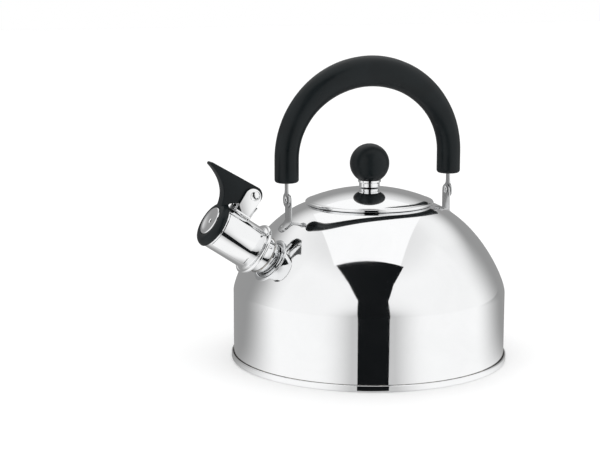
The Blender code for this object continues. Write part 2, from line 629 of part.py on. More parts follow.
def knob():
    """Ball knob on a steel ferrule, held by a screw from under the lid into a threaded insert."""
    ball_z = lid_height(FERRULE_RADIUS) + GAP + FERRULE_HEIGHT + sqrt(KNOB_RADIUS ** 2 - FERRULE_RADIUS ** 2)
    seat = KNOB_RADIUS + GAP
    hole = SCREW_RADIUS + GAP
    cup_radii = [hole, FERRULE_RADIUS * 0.6, FERRULE_RADIUS]
    cup = [(r, ball_z - sqrt(seat ** 2 - r ** 2)) for r in cup_radii]
    foot = lid_height(hole) + GAP
    rounding = 1.2 * MM
    foot_edge = arc((FERRULE_RADIUS - rounding, foot + rounding), rounding, 0, -90, 3)
    turned("knob_ferrule", [*cup, *foot_edge, (hole, foot)], 2 * SMALL_STEPS, CHROME, LID)

    def build_ball(shape):
        bmesh.ops.create_uvsphere(shape, u_segments=28, v_segments=16, radius=KNOB_RADIUS)
    ball = primitive("knob_ball", build_ball, BAKELITE, LID, (0, 0, ball_z))
    insert_low = ball_z - KNOB_RADIUS + 0.6 * MM
    insert_high = insert_low + INSERT_LENGTH
    bore_high = insert_high + 1.0 * MM
    bore_low = ball_z - 2 * KNOB_RADIUS
    bore = cylinder("insert_bore", INSERT_RADIUS + GAP, bore_high - bore_low, SMALL_STEPS, None, LID,
                    (0, 0, (bore_high + bore_low) / 2))
    cut(ball, bore)
    insert = [(hole, insert_high), (INSERT_RADIUS, insert_high), (INSERT_RADIUS, insert_low), (hole, insert_low)]
    turned("knob_insert", insert, SMALL_STEPS, BRASS, LID)

    washer_top = lid_height(WASHER_RADIUS) - LID_SHEET - GAP
    washer_low = washer_top - WASHER_THICKNESS
    washer = [(hole, washer_top), (WASHER_RADIUS, washer_top), (WASHER_RADIUS, washer_low), (hole, washer_low)]
    turned("knob_washer", washer, SMALL_STEPS, SATIN_STEEL, LID)
    head_top = washer_low - GAP
    head_low = head_top - SCREW_HEAD_HEIGHT
    tip = insert_high - 1.0 * MM
    screw = [(0, tip), (SCREW_RADIUS - 0.4 * MM, tip), (SCREW_RADIUS, tip - 0.6 * MM), (SCREW_RADIUS, head_top)]
    screw += [(SCREW_HEAD_RADIUS, head_top), (SCREW_HEAD_RADIUS, head_low + 1.2 * MM)]
    screw += [(SCREW_HEAD_RADIUS * 0.6, head_low + 0.2 * MM), (0, head_low)]
    turned("knob_screw", screw, SMALL_STEPS, SATIN_STEEL, LID)


# Bail handle --------------------------------------------------------------------------------------------------------

def grip_path():
    """Centre line of the grip around the bail's pivot, with the radius at each point, from end to end."""
    ends = 3
    arch = 26
    places = []
    radii = []
    for i in range(ends):
        angle = pi / 2 * i / ends
        places.append((BAIL_HALF_SPAN, 0, GRIP_DROP + GRIP_ROUNDING * (1 - cos(angle))))
        radii.append(GRIP_END_RADIUS - GRIP_ROUNDING * (1 - sin(angle)))
    places.append((BAIL_HALF_SPAN, 0, GRIP_DROP + GRIP_ROUNDING))
    radii.append(GRIP_END_RADIUS)
    for i in range(arch + 1):
        angle = pi * i / arch
        height = GRIP_DROP + GRIP_STRAIGHT + GRIP_RISE * sin(angle)
        places.append((BAIL_HALF_SPAN * cos(angle), 0, height))
        radii.append(GRIP_END_RADIUS + (GRIP_TOP_RADIUS - GRIP_END_RADIUS) * sin(angle) ** 2)
    for x, y, z in places[ends::-1]:
        places.append((-x, y, z))
    radii += radii[ends::-1]
    return places, radii


def grip():
    places, radii = grip_path()
    handle = bar("grip", places, 1.0, 6, BAKELITE, BAIL, radii)
    for side in BAIL_SIDES:
        low = (-LUG_SHEET / 2 - GAP, -STRIP_WIDTH / 2 - GAP, GRIP_DROP - GRIP_ROUNDING)
        high = (LUG_SHEET / 2 + GAP, STRIP_WIDTH / 2 + GAP, GRIP_DROP + STRIP_INSET + GAP)
        low = (low[0] + BAIL_HALF_SPAN, *low[1:])
        high = (high[0] + BAIL_HALF_SPAN, *high[1:])
        cut(handle, box("strip_socket_" + side.name, low, high, None, side))


def leg_strip(name, side):
    """Flat steel strip from the grip down to the rivet, with a rounded eye."""
    half = STRIP_WIDTH / 2
    flare = degrees(acos(half / STRIP_EYE))
    eye = arc((0, 0), STRIP_EYE, 180 - flare, 360 + flare, 14)
    outline = [(-half, GRIP_DROP + STRIP_INSET), *eye, (half, GRIP_DROP + STRIP_INSET)]
    strip = plate(name, outline, LUG_SHEET, SATIN_STEEL, side, (BAIL_HALF_SPAN, 0, 0), UPRIGHT_YZ)
    cut(strip, cylinder(name + "_bore", RIVET_RADIUS + GAP, 4 * LUG_SHEET, SMALL_STEPS, None, side,
                        (BAIL_HALF_SPAN, 0, 0), ALONG_X))


def bail_bracket(name, side):
    """Lug for the rivet, bent out at its foot into a flange that is spot-welded on the dome."""
    lug_x = BAIL_HALF_SPAN - LUG_SHEET - GAP
    half = LUG_WIDTH / 2
    top_radius = RIVET_HEAD_RADIUS + 1.6 * MM
    bottom = dome_height(lug_x) - BAIL_Z
    crest = arc((0, 0), top_radius, 0, 180, 8)
    crest = [(y, z * LUG_TOP / top_radius) for y, z in crest]
    outline = [(half, bottom), (half, bottom + 5 * MM), *crest, (-half, bottom + 5 * MM), (-half, bottom)]
    lug = plate(name, outline, LUG_SHEET, SATIN_STEEL, side, (lug_x, 0, BAIL_Z), UPRIGHT_YZ)
    fall = dome_fall(lug_x + FOOT_LENGTH / 2)
    foot_start = -LUG_SHEET / 2
    foot = [(foot_start, -half), *arc((FOOT_LENGTH - half, 0), half, -90, 90, 8), (foot_start, half)]
    foot_z = dome_height(lug_x) + LUG_SHEET / 2 + GAP
    join(lug, plate(name + "_foot", foot, LUG_SHEET, None, side, (lug_x, 0, foot_z), (0, fall, 0)))
    bore = cylinder(name + "_bore", RIVET_RADIUS + GAP, 4 * LUG_SHEET, SMALL_STEPS, None, side,
                    (lug_x, 0, BAIL_Z), ALONG_X)
    cut(lug, DOME_ENVELOPE, bore)


def bail_rivet(name, side):
    """Rivet through the lug and the leg strip."""
    grip_length = 2 * LUG_SHEET + 3 * GAP
    middle = BAIL_HALF_SPAN - (LUG_SHEET + GAP) / 2
    profile = rivet_profile(RIVET_RADIUS, grip_length, RIVET_HEAD_RADIUS, RIVET_HEAD_HEIGHT)
    turned(name, profile, SMALL_STEPS, SATIN_STEEL, side, (middle, 0, BAIL_Z), ALONG_X)


def dome_envelope():
    """The dome's outer surface plus the gap, as a solid that trims what is welded on it."""
    outside = offset(dome_curve(10), GAP)
    profile = [(0, outside[0][1]), *outside, (outside[-1][0], 0), (0, 0)]
    return turned("dome_envelope", profile, BODY_STEPS)


# Frames that the pieces are placed in --------------------------------------------------------------------------

SPOUT_OUT = Vector((-cos(SPOUT_RISE), 0, sin(SPOUT_RISE)))
SPOUT_ROOT = Vector((-SPOUT_REACH, 0, dome_height(SPOUT_REACH)))
SPOUT_MOUTH = SPOUT_ROOT + SPOUT_OUT * (STUB_SHOWN + TUBE_LENGTH)
SHOWN_TO_DOME = TUBE_LENGTH + STUB_SHOWN
BACKWARDS = (0, -pi / 2, 0)         # lays a turned shape's axis out of the spout
BAIL_Z = dome_height(BAIL_HALF_SPAN) + PIVOT_ABOVE_DOME

# In the spout's frame X runs from the tube's mouth back into the body and Z is up across the tube.
SPOUT = empty("spout_axis", SPOUT_MOUTH, (0, SPOUT_RISE, 0))
LEVER = empty("lever_pivot", (PIVOT_BACK, 0, PIVOT_UP), (0, 0, 0), SPOUT)
LID = empty("lid_axis", (0, 0, 0))
BAIL = empty("bail_pivot", (0, 0, BAIL_Z))
# In each side's frame X points outwards.
BAIL_SIDES = [empty("front_leg", (0, 0, 0), (0, 0, pi), BAIL), empty("rear_leg", (0, 0, 0), (0, 0, 0), BAIL)]
BODY_SIDES = [empty("front_side", (0, 0, 0), (0, 0, pi)), empty("rear_side", (0, 0, 0))]
DOME_ENVELOPE = dome_envelope()

body_shell()
base_pan()
heat_disc()
spout_stub()
whistle_tube()
friction_sleeve()
lever_bracket()
lever_pin()
lever_spring()
whistle_lever()
whistle_capsule()
lid_shell()
lid_skirt()
knob()
grip()
for place, bail_side, body_side in zip(("front", "rear"), BAIL_SIDES, BODY_SIDES):
    leg_strip(place + "_leg_strip", bail_side)
    bail_bracket(place + "_bail_bracket", body_side)
    bail_rivet(place + "_bail_rivet", body_side)
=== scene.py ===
"""Stovetop whistling kettle: finished pieces, finishes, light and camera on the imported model.

Lengths are metres, +Z is up, the spout points towards -X and the bail's pivot axis lies along X.
"""

import json
from math import acos, atan2, ceil, cos, degrees, pi, radians, sin, sqrt, tan

import bmesh
import bpy
from bpy.props import FloatProperty, FloatVectorProperty, IntProperty, PointerProperty
from bpy.types import Operator, Panel, PropertyGroup
from mathutils import Matrix, Vector


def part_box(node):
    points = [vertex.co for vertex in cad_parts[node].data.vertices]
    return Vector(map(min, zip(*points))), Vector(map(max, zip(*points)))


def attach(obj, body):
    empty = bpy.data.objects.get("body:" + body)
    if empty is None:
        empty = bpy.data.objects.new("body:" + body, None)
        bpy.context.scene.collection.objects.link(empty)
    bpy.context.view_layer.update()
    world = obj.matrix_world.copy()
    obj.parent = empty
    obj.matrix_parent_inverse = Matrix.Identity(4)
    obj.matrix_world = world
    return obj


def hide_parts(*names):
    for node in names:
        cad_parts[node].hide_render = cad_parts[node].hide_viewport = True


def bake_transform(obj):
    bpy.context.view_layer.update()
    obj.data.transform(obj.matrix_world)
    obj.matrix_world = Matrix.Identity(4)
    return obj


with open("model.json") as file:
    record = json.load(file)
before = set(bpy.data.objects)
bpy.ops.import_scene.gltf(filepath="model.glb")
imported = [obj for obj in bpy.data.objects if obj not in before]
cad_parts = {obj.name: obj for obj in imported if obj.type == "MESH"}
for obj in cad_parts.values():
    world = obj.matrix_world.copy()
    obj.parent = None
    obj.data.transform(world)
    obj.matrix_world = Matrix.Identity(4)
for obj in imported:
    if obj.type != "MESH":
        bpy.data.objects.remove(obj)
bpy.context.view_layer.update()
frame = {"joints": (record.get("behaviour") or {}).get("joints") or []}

bl_info = {
    "name": "Whistling kettle",
    "version": (1, 0, 0),
    "blender": (4, 5, 0),
    "location": "3D View > Sidebar > Kettle",
    "description": "Builds a stovetop whistling kettle on its packed frame",
    "category": "Add Mesh",
}

MM = 0.001
JOINTS = {joint["name"]: joint for joint in frame["joints"]}

# The spout's frame: out of the kettle along the tube, and up across it.
SPOUT_OUT = Vector(JOINTS["whistle_pull"]["axis"]).normalized()
SPOUT_UP = Vector((SPOUT_OUT.z, 0, -SPOUT_OUT.x))
LEVER_PIVOT = Vector(JOINTS["lever_open"]["pos_m"])
BAIL_PIVOT = Vector(JOINTS["bail_swing"]["pos_m"])

BODY_LOW, BODY_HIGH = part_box("body_shell")
PAN_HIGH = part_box("base_pan")[1]
DISC_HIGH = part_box("heat_disc")[1]
LID_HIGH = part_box("lid_shell")[1]
BALL_LOW, BALL_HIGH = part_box("knob_ball")
BALL_RADIUS = (BALL_HIGH.x - BALL_LOW.x) / 2

# Small sizes that the sidebar does not show
SCREW_HOLE = 2.3 * MM           # radius of the hole for the knob's screw
RIVET_HOLE = 2.3 * MM           # radius of the eyes on the bail's rivets
RIVET_RADIUS = 2.0 * MM
RIVET_CROWN = 1.6 * MM          # height of the rivets' heads
PIN_CROWN = 1.5 * MM            # height of the lever pin's heads
STRIP_INSET = 16.0 * MM         # leg strip inside the grip
WELD_SPREAD = 2.4 * MM          # spot welds to each side of a bracket's middle
WELD_RADIUS = 1.25 * MM
WELD_RISE = 0.22 * MM
WELD_ALONG = 0.62               # spot welds along a bracket's foot, as a share of it
INSERT_LENGTH = 13.0 * MM
INSERT_RADIUS = 4.3 * MM
INSERT_LIFT = 0.6 * MM          # insert above the bottom of the ball
WASHER_RADIUS = 6.0 * MM
WASHER_THICKNESS = 0.8 * MM
SCREW_RADIUS = 2.0 * MM
SCREW_PITCH = 0.7 * MM
SCREW_HEAD = 4.5 * MM           # radius of the screw's head
CAPSULE_SHEET = 0.6 * MM
COIL_RADIUS = 2.9 * MM          # mean radius of the lever spring's coil
COIL_HALF = 1.5 * MM            # half the length of the coil
COIL_WIRE = 0.35 * MM           # radius of the wire
COIL_TURNS = 3
COIL_LEG = 8.0 * MM             # leg that presses on the lever
POCKET_RADIUS = 3.9 * MM        # pocket for the coil in the lever's hub
POCKET_WIDTH = 4.9 * MM
SLOT_HALF = 2.4 * MM            # slot for the spring's legs behind the pocket
SLOT_FRONT = 0.9 * MM
SLOT_TOP = 2.9 * MM
TAB_BACK = 7.6 * MM             # spring tab behind the lever pin
TAB_LEAN = 1.3 * MM             # top of the tab behind its foot
TAB_TOP = 27.9 * MM             # top of the tab above the tube's axis
TAB_WIDTH = 5.0 * MM


# Sizes and colours ----------------------------------------------------------------------------------------

def length(name, description, default):
    return FloatProperty(name=name, description=description, default=default, min=0.0, precision=5,
                         unit="LENGTH", subtype="DISTANCE")


def angle(name, description, degrees_):
    return FloatProperty(name=name, description=description, default=radians(degrees_), unit="ROTATION",
                         subtype="ANGLE")


def colour(name, description, default):
    return FloatVectorProperty(name=name, description=description, default=default, size=3, min=0.0, max=1.0,
                               subtype="COLOR")


class KettleFits(PropertyGroup):
    gap: length("Gap", "Clearance between pieces that touch", 0.3 * MM)
    sheet: length("Sheet", "Thickness of the steel sheet", 0.8 * MM)
    lug_sheet: length("Strip sheet", "Thickness of the bail's strips and brackets", 1.2 * MM)
    steps: IntProperty(name="Steps", description="Facets around the largest turned pieces",
                       default=192, min=24)


class KettleBody(PropertyGroup):
    radius: length("Wall radius", "Outside radius of the straight wall", BODY_HIGH.x)
    top: length("Lip height", "Height of the lip of the mouth", BODY_HIGH.z)
    wall_top: length("Wall height", "Height where the wall turns into the dome", 54.0 * MM)
    shoulder_pull: length("Shoulder handle", "Length of the dome curve's handle at the wall", 10.0 * MM)
    crown_pull: length("Crown handle", "Length of the dome curve's handle at the mouth", 39.3 * MM)
    crown_slope: angle("Crown slope", "Fall of the dome beside the mouth", 13.8)
    mouth_radius: length("Mouth radius", "Clear radius of the lid's opening", 44.0 * MM)
    lip_radius: length("Lip radius", "Radius of the rolled lip", 2.0 * MM)
    neck_depth: length("Neck depth", "Length of the neck below the lip", 6.0 * MM)


class KettleBase(PropertyGroup):
    bead_radius: length("Bead radius", "Outside radius of the seam bead", PAN_HIGH.x)
    bead_top: length("Bead top", "Height of the top of the seam bead", PAN_HIGH.z - 0.5 * MM)
    bead_lift: length("Bead lift", "Underside of the bead above the resting face", 0.6 * MM)
    disc_radius: length("Disc radius", "Radius of the heat spreader disc", DISC_HIGH.x)
    disc_thickness: length("Disc thickness", "Thickness of the heat spreader disc", DISC_HIGH.z)
    groove_pitch: length("Groove pitch", "Distance between the disc's turned grooves", 9.0 * MM)


class KettleSpout(PropertyGroup):
    stub_radius: length("Stub radius", "Outside radius of the stub", 14.2 * MM)
    stub_front: length("Stub front", "Front end of the stub behind the tube's mouth", 21.0 * MM)
    stub_back: length("Stub back", "Rear end of the stub behind the tube's mouth", 49.8 * MM)
    weld: length("Weld bead", "Radius of the weld bead around the stub", 0.55 * MM)
    tube_radius: length("Tube radius", "Outside radius of the whistle tube", 17.2 * MM)
    tube_length: length("Tube length", "Length of the whistle tube", 39.0 * MM)
    flange_radius: length("Flange radius", "Outside radius of the flange", 20.8 * MM)
    flange_bead: length("Flange bead", "Radius of the flange's rolled edge", 1.4 * MM)
    flange_depth: length("Flange depth", "Length of the flare and its edge", 4.2 * MM)
    sleeve_front: length("Sleeve front", "Front of the friction sleeve behind the tube's mouth", 22.5 * MM)
    sleeve_back: length("Sleeve back", "Rear of the friction sleeve behind the tube's mouth", 37.5 * MM)


class KettleLever(PropertyGroup):
    pivot_back: length("Pin back", "Lever pin behind the tube's mouth", 13.4 * MM)
    pivot_up: length("Pin height", "Lever pin above the tube's axis", 34.1 * MM)
    pin_radius: length("Pin radius", "Radius of the lever pin", 1.5 * MM)
    pin_head: length("Pin head", "Radius of the pin's heads", 3.8 * MM)
    saddle_sheet: length("Saddle sheet", "Thickness of the saddle and its ears", 1.0 * MM)
    saddle_spread: angle("Saddle spread", "Saddle to each side of the tube's top", 47.0)
    ear_spread: length("Ear spread", "Across the outsides of the ears", 14.4 * MM)
    ear_width: length("Ear width", "Width of each ear", 13.4 * MM)
    ear_front: length("Ear front", "Ears behind the tube's mouth", 5.6 * MM)
    ear_top: length("Ear top", "Top of the ears above the tube's axis", 39.0 * MM)
    web_width: length("Web width", "Width of the lever", 9.4 * MM)
    hub_radius: length("Hub radius", "Radius of the lever's hub", 7.2 * MM)
    thumb_reach: length("Thumb reach", "From the pin to the tip of the thumb tab", 41.8 * MM)
    thumb_lift: length("Thumb lift", "Tip of the thumb tab above the pin", 3.2 * MM)
    thumb_tip: length("Thumb tip", "Radius of the thumb tab's tip", 1.3 * MM)
    edge: length("Edge rounding", "Rounding of the lever's long edges", 1.0 * MM)
    cap_radius: length("Cap radius", "Radius of the lever's cap", 18.2 * MM)
    cap_length: length("Cap length", "Length of the cap in front of the tube", 5.5 * MM)
    capsule_radius: length("Capsule radius", "Radius of the whistle's cup", 11.3 * MM)
    capsule_lift: length("Capsule lift", "Capsule's axis above the tube's axis", 1.0 * MM)
    capsule_proud: length("Capsule proud", "Capsule in front of the cap", 0.5 * MM)
    sound_hole: length("Sound hole", "Radius of the hole in each whistle plate", 1.3 * MM)


class KettleLid(PropertyGroup):
    radius: length("Lid radius", "Outside radius of the lid", 50.3 * MM)
    crown: length("Lid crown", "Radius of the lid's curvature", 125.0 * MM)
    edge: length("Lid edge", "Radius of the rolled rim", 1.3 * MM)
    sheet: length("Lid sheet", "Thickness of the lid's sheet", 0.7 * MM)
    top: length("Lid top", "Height of the lid at the knob", LID_HIGH.z)
    skirt_radius: length("Skirt radius", "Outside radius of the locating skirt", 43.4 * MM)
    skirt_depth: length("Skirt depth", "Depth of the locating skirt", 9.0 * MM)
    ferrule_radius: length("Ferrule radius", "Radius of the knob's ferrule", 9.0 * MM)
    ball_radius: length("Ball radius", "Radius of the ball knob", BALL_RADIUS)
    ball_height: length("Ball height", "Height of the ball's centre", BALL_HIGH.z - BALL_RADIUS)


class KettleHandle(PropertyGroup):
    half_span: length("Half span", "From the kettle's axis to each leg", 70.8 * MM)
    grip_start: length("Grip start", "From the pivot up to the ends of the grip", 13.5 * MM)
    grip_straight: length("Grip straight", "Length of the grip's straight legs", 17.7 * MM)
    grip_rise: length("Grip rise", "Height of the arch above its straight legs", 65.4 * MM)
    end_radius: length("End radius", "Radius of the grip at its ends", 9.4 * MM)
    top_radius: length("Top radius", "Radius of the grip at its top", 12.0 * MM)
    rounding: length("End rounding", "Rounding of the grip's ends", 2.5 * MM)
    strip_width: length("Strip width", "Width of the leg strips", 5.2 * MM)
    eye_radius: length("Eye radius", "Radius of the strip's eye", 6.0 * MM)
    lug_width: length("Lug width", "Width of the bail brackets", 11.0 * MM)
    foot_length: length("Foot length", "Length of the bracket's foot", 10.5 * MM)
    rivet_head: length("Rivet head", "Radius of the rivet's heads", 3.3 * MM)


class KettleColours(PropertyGroup):
    steel: colour("Polished steel", "Colour of the polished steel", (0.915, 0.92, 0.925))
    satin: colour("Satin steel", "Colour of the pressed steel", (0.66, 0.665, 0.67))
    bakelite: colour("Bakelite", "Colour of the black moulding", (0.0042, 0.0066, 0.0076))
    aluminium: colour("Aluminium", "Colour of the heat spreader disc", (0.66, 0.66, 0.67))
    brass: colour("Brass", "Colour of the threaded insert", (0.78, 0.58, 0.28))
    floor: colour("Floor", "Colour of the studio floor", (0.93, 0.93, 0.93))


class KettleSizes(PropertyGroup):
    fits: PointerProperty(type=KettleFits)
    body: PointerProperty(type=KettleBody)
    base: PointerProperty(type=KettleBase)
    spout: PointerProperty(type=KettleSpout)
    lever: PointerProperty(type=KettleLever)
    lid: PointerProperty(type=KettleLid)
    handle: PointerProperty(type=KettleHandle)
    colours: PointerProperty(type=KettleColours)


# Outlines -------------------------------------------------------------------------------------------------

def arc(centre, radius, start, end, steps):
    """Points of an arc; start and end are in degrees, from the first axis towards the second."""
    turns = [radians(start + (end - start) * i / steps) for i in range(steps + 1)]
    return [(centre[0] + radius * cos(a), centre[1] + radius * sin(a)) for a in turns]


def bezier(start, pull_start, pull_end, end, steps):
    points = []
    for i in range(steps + 1):
        t = i / steps
        weights = ((1 - t) ** 3, 3 * t * (1 - t) ** 2, 3 * t * t * (1 - t), t ** 3)
        points.append(tuple(sum(w * p[k] for w, p in zip(weights, (start, pull_start, pull_end, end)))
                            for k in (0, 1)))
    return points


def offset(points, distance):
    """The same run of points moved to the left of its direction of travel."""
    moved = []
    for i, (x, y) in enumerate(points):
        before = points[max(i - 1, 0)]
        after = points[min(i + 1, len(points) - 1)]
        run = Vector((after[0] - before[0], after[1] - before[1])).normalized()
        moved.append((x - run.y * distance, y + run.x * distance))
    return moved


def dome_curve(body, steps=48):
    """The dome's outer surface as (radius, height), from the lip out to the wall."""
    lip = (body.mouth_radius + body.lip_radius, body.top)
    pull = (body.crown_pull * cos(body.crown_slope), body.crown_pull * sin(body.crown_slope))
    crown = (lip[0] + pull[0], lip[1] - pull[1])
    shoulder = (body.radius, body.wall_top + body.shoulder_pull)
    return bezier(lip, crown, shoulder, (body.radius, body.wall_top), steps)


def dome_height(body, radius):
    curve = dome_curve(body, 400)
    for (r0, z0), (r1, z1) in zip(curve, curve[1:]):
        if r0 <= radius <= r1:
            return z0 + (z1 - z0) * (radius - r0) / max(r1 - r0, 1e-9)
    return body.top


def lid_height(lid, radius):
    """Height of the lid's upper surface at a distance from the kettle's axis."""
    return lid.top + sqrt(lid.crown ** 2 - radius ** 2) - sqrt(lid.crown ** 2 - SCREW_HOLE ** 2)


# Modelling ------------------------------------------------------------------------------------------------

def leave_all():
    """Object mode with nothing selected."""
    if bpy.context.mode != "OBJECT":
        bpy.ops.object.mode_set(mode="OBJECT")
    bpy.ops.object.select_all(action="DESELECT")


def pick(piece):
    leave_all()
    piece.select_set(True)
    bpy.context.view_layer.objects.active = piece


def draw(name, points, closed=True):
    """A chain of edges through (x, z) points, or (x, y, z) points, drawn by extruding one vertex."""
    places = [Vector(p if len(p) == 3 else (p[0], 0, p[1])) for p in points]
    leave_all()
    bpy.ops.mesh.primitive_plane_add(size=MM)
    piece = bpy.context.object
    piece.name = name
    piece.data.name = name
    bpy.ops.object.mode_set(mode="EDIT")
    bpy.ops.mesh.merge(type="CENTER")
    bpy.ops.transform.translate(value=places[0])
    for before, after in zip(places, places[1:]):
        bpy.ops.mesh.extrude_vertices_move(TRANSFORM_OT_translate={"value": after - before})
    if closed:
        bpy.ops.mesh.select_all(action="DESELECT")
        shape = bmesh.from_edit_mesh(piece.data)
        for vertex in shape.verts:
            vertex.select = min((vertex.co - places[0]).length, (vertex.co - places[-1]).length) < 1e-7
        shape.select_flush(True)
        bmesh.update_edit_mesh(piece.data)
        bpy.ops.mesh.edge_face_add()
    bpy.ops.mesh.select_all(action="SELECT")
    return piece


def face_outwards(merge=2e-6):
    """Merge the doubles of the piece in edit mode and turn its faces outwards."""
    bpy.ops.mesh.select_all(action="SELECT")
    bpy.ops.mesh.remove_doubles(threshold=merge)
    bpy.ops.mesh.normals_make_consistent(inside=False)
    bpy.ops.object.mode_set(mode="OBJECT")


def lathe(name, outline, steps, frame_of=Matrix(), sweep=2 * pi):
    """Spin a closed (radius, height) outline about Z and set it in its frame."""
    ring = outline[0][0] > 0 or outline[-1][0] > 0
    piece = draw(name, outline, closed=ring)
    bpy.ops.mesh.spin(steps=steps, angle=sweep, center=(0, 0, 0), axis=(0, 0, 1))
    bpy.ops.mesh.select_all(action="SELECT")
    bpy.ops.mesh.remove_doubles(threshold=2e-6)
    if sweep < 2 * pi:
        bpy.ops.mesh.fill_holes(sides=0)
    face_outwards()
    set_down(piece, frame_of)
    return piece


def slab(name, outline, width, frame_of=Matrix()):
    """Fill an (x, z) outline and extrude it along Y, half its width to each side."""
    piece = draw(name, outline)
    bpy.ops.mesh.edge_face_add()
    bpy.ops.transform.translate(value=(0, -width / 2, 0))
    bpy.ops.mesh.extrude_region_move(TRANSFORM_OT_translate={"value": (0, width, 0)})
    face_outwards()
    set_down(piece, frame_of)
    return piece


def set_down(piece, frame_of):
    """Place a piece by its frame and leave its object at the origin."""
    pick(piece)
    piece.matrix_world = frame_of @ piece.matrix_world
    bpy.ops.object.transform_apply(location=True, rotation=True, scale=True)


def modify(piece, kind, **settings):
    """Add a modifier with these settings and apply it."""
    pick(piece)
    modifier = piece.modifiers.new(kind.lower(), kind)
    for key, value in settings.items():
        setattr(modifier, key, value)
    bpy.ops.object.modifier_apply(modifier=modifier.name)
    return piece


def soften(piece, width, segments=2, limit=30):
    """Round the sharp edges of a piece."""
    return modify(piece, "BEVEL", width=width, segments=segments, limit_method="ANGLE",
                  angle_limit=radians(limit), harden_normals=False)


def carve(piece, *tools, operation="DIFFERENCE"):
    """Cut tools out of a piece, or join them to it, and discard them."""
    for tool in tools:
        modify(piece, "BOOLEAN", operation=operation, solver="EXACT", object=tool)
        bpy.data.objects.remove(tool)
    return piece


def gather(name, *parts):
    """Join loose parts into one piece."""
    leave_all()
    for part in parts:
        part.select_set(True)
    bpy.context.view_layer.objects.active = parts[0]
    bpy.ops.object.join()
    parts[0].name = name
    parts[0].data.name = name
    return parts[0]


def wire(name, path, radius, resolution=4, cyclic=False, radii=None):
    """A round wire along a path of points."""
    piece = draw(name, path, closed=cyclic)
    leave_all()
    pick(piece)
    bpy.ops.object.convert(target="CURVE")
    curve = piece.data
    curve.bevel_depth = radius
    curve.bevel_resolution = resolution
    curve.use_fill_caps = not cyclic
    if radii:
        for point, size in zip(curve.splines[0].points, radii):
            point.radius = size
    bpy.ops.object.convert(target="MESH")
    bpy.ops.object.mode_set(mode="EDIT")
    face_outwards()
    return piece


def drum(radius, depth, frame_of, along="X", steps=64):
    """A plain cylinder for cutting, centred on its frame."""
    leave_all()
    bpy.ops.mesh.primitive_cylinder_add(vertices=steps, radius=radius, depth=depth)
    tool = bpy.context.object
    turns = {"X": Matrix.Rotation(pi / 2, 4, "Y"), "Y": Matrix.Rotation(pi / 2, 4, "X"), "Z": Matrix()}
    set_down(tool, frame_of @ turns[along])
    return tool


def block(low, high, frame_of):
    """A plain box for cutting, between two corners of its frame."""
    leave_all()
    bpy.ops.mesh.primitive_cube_add(size=1, location=[(a + b) / 2 for a, b in zip(low, high)],
                                    scale=[b - a for a, b in zip(low, high)])
    tool = bpy.context.object
    set_down(tool, frame_of)
    return tool


def ball_of(segments, rings, radius=1.0, **settings):
    """A sphere, or an ellipsoid if it is given a scale."""
    leave_all()
    bpy.ops.mesh.primitive_uv_sphere_add(segments=segments, ring_count=rings, radius=radius, **settings)
    return bpy.context.object


def finish(piece, body, look, nodes=(), smooth=35):
    """Shade a piece, give it its finish and let it ride on its body."""
    pick(piece)
    bpy.ops.object.shade_smooth_by_angle(angle=radians(smooth))
    if not piece.data.materials:
        piece.data.materials.append(look)
    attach(piece, body)
    if nodes:
        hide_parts(*nodes)
    return piece


def tube_frame(back=0.0, up=0.0, lever=None):
    """Frame on the tube's axis: X back into the kettle, Z up across the tube."""
    mouth = LEVER_PIVOT + SPOUT_OUT * lever.pivot_back - SPOUT_UP * lever.pivot_up
    place = mouth - SPOUT_OUT * back + SPOUT_UP * up
    into = -SPOUT_OUT
    side = SPOUT_UP.cross(into)
    rows = Matrix((into, side, SPOUT_UP)).transposed().to_4x4()
    return Matrix.Translation(place) @ rows


OUTWARDS = Matrix.Rotation(-pi / 2, 4, "Y")    # turns a lathe's Z axis out of the spout


# Finishes -------------------------------------------------------------------------------------------------

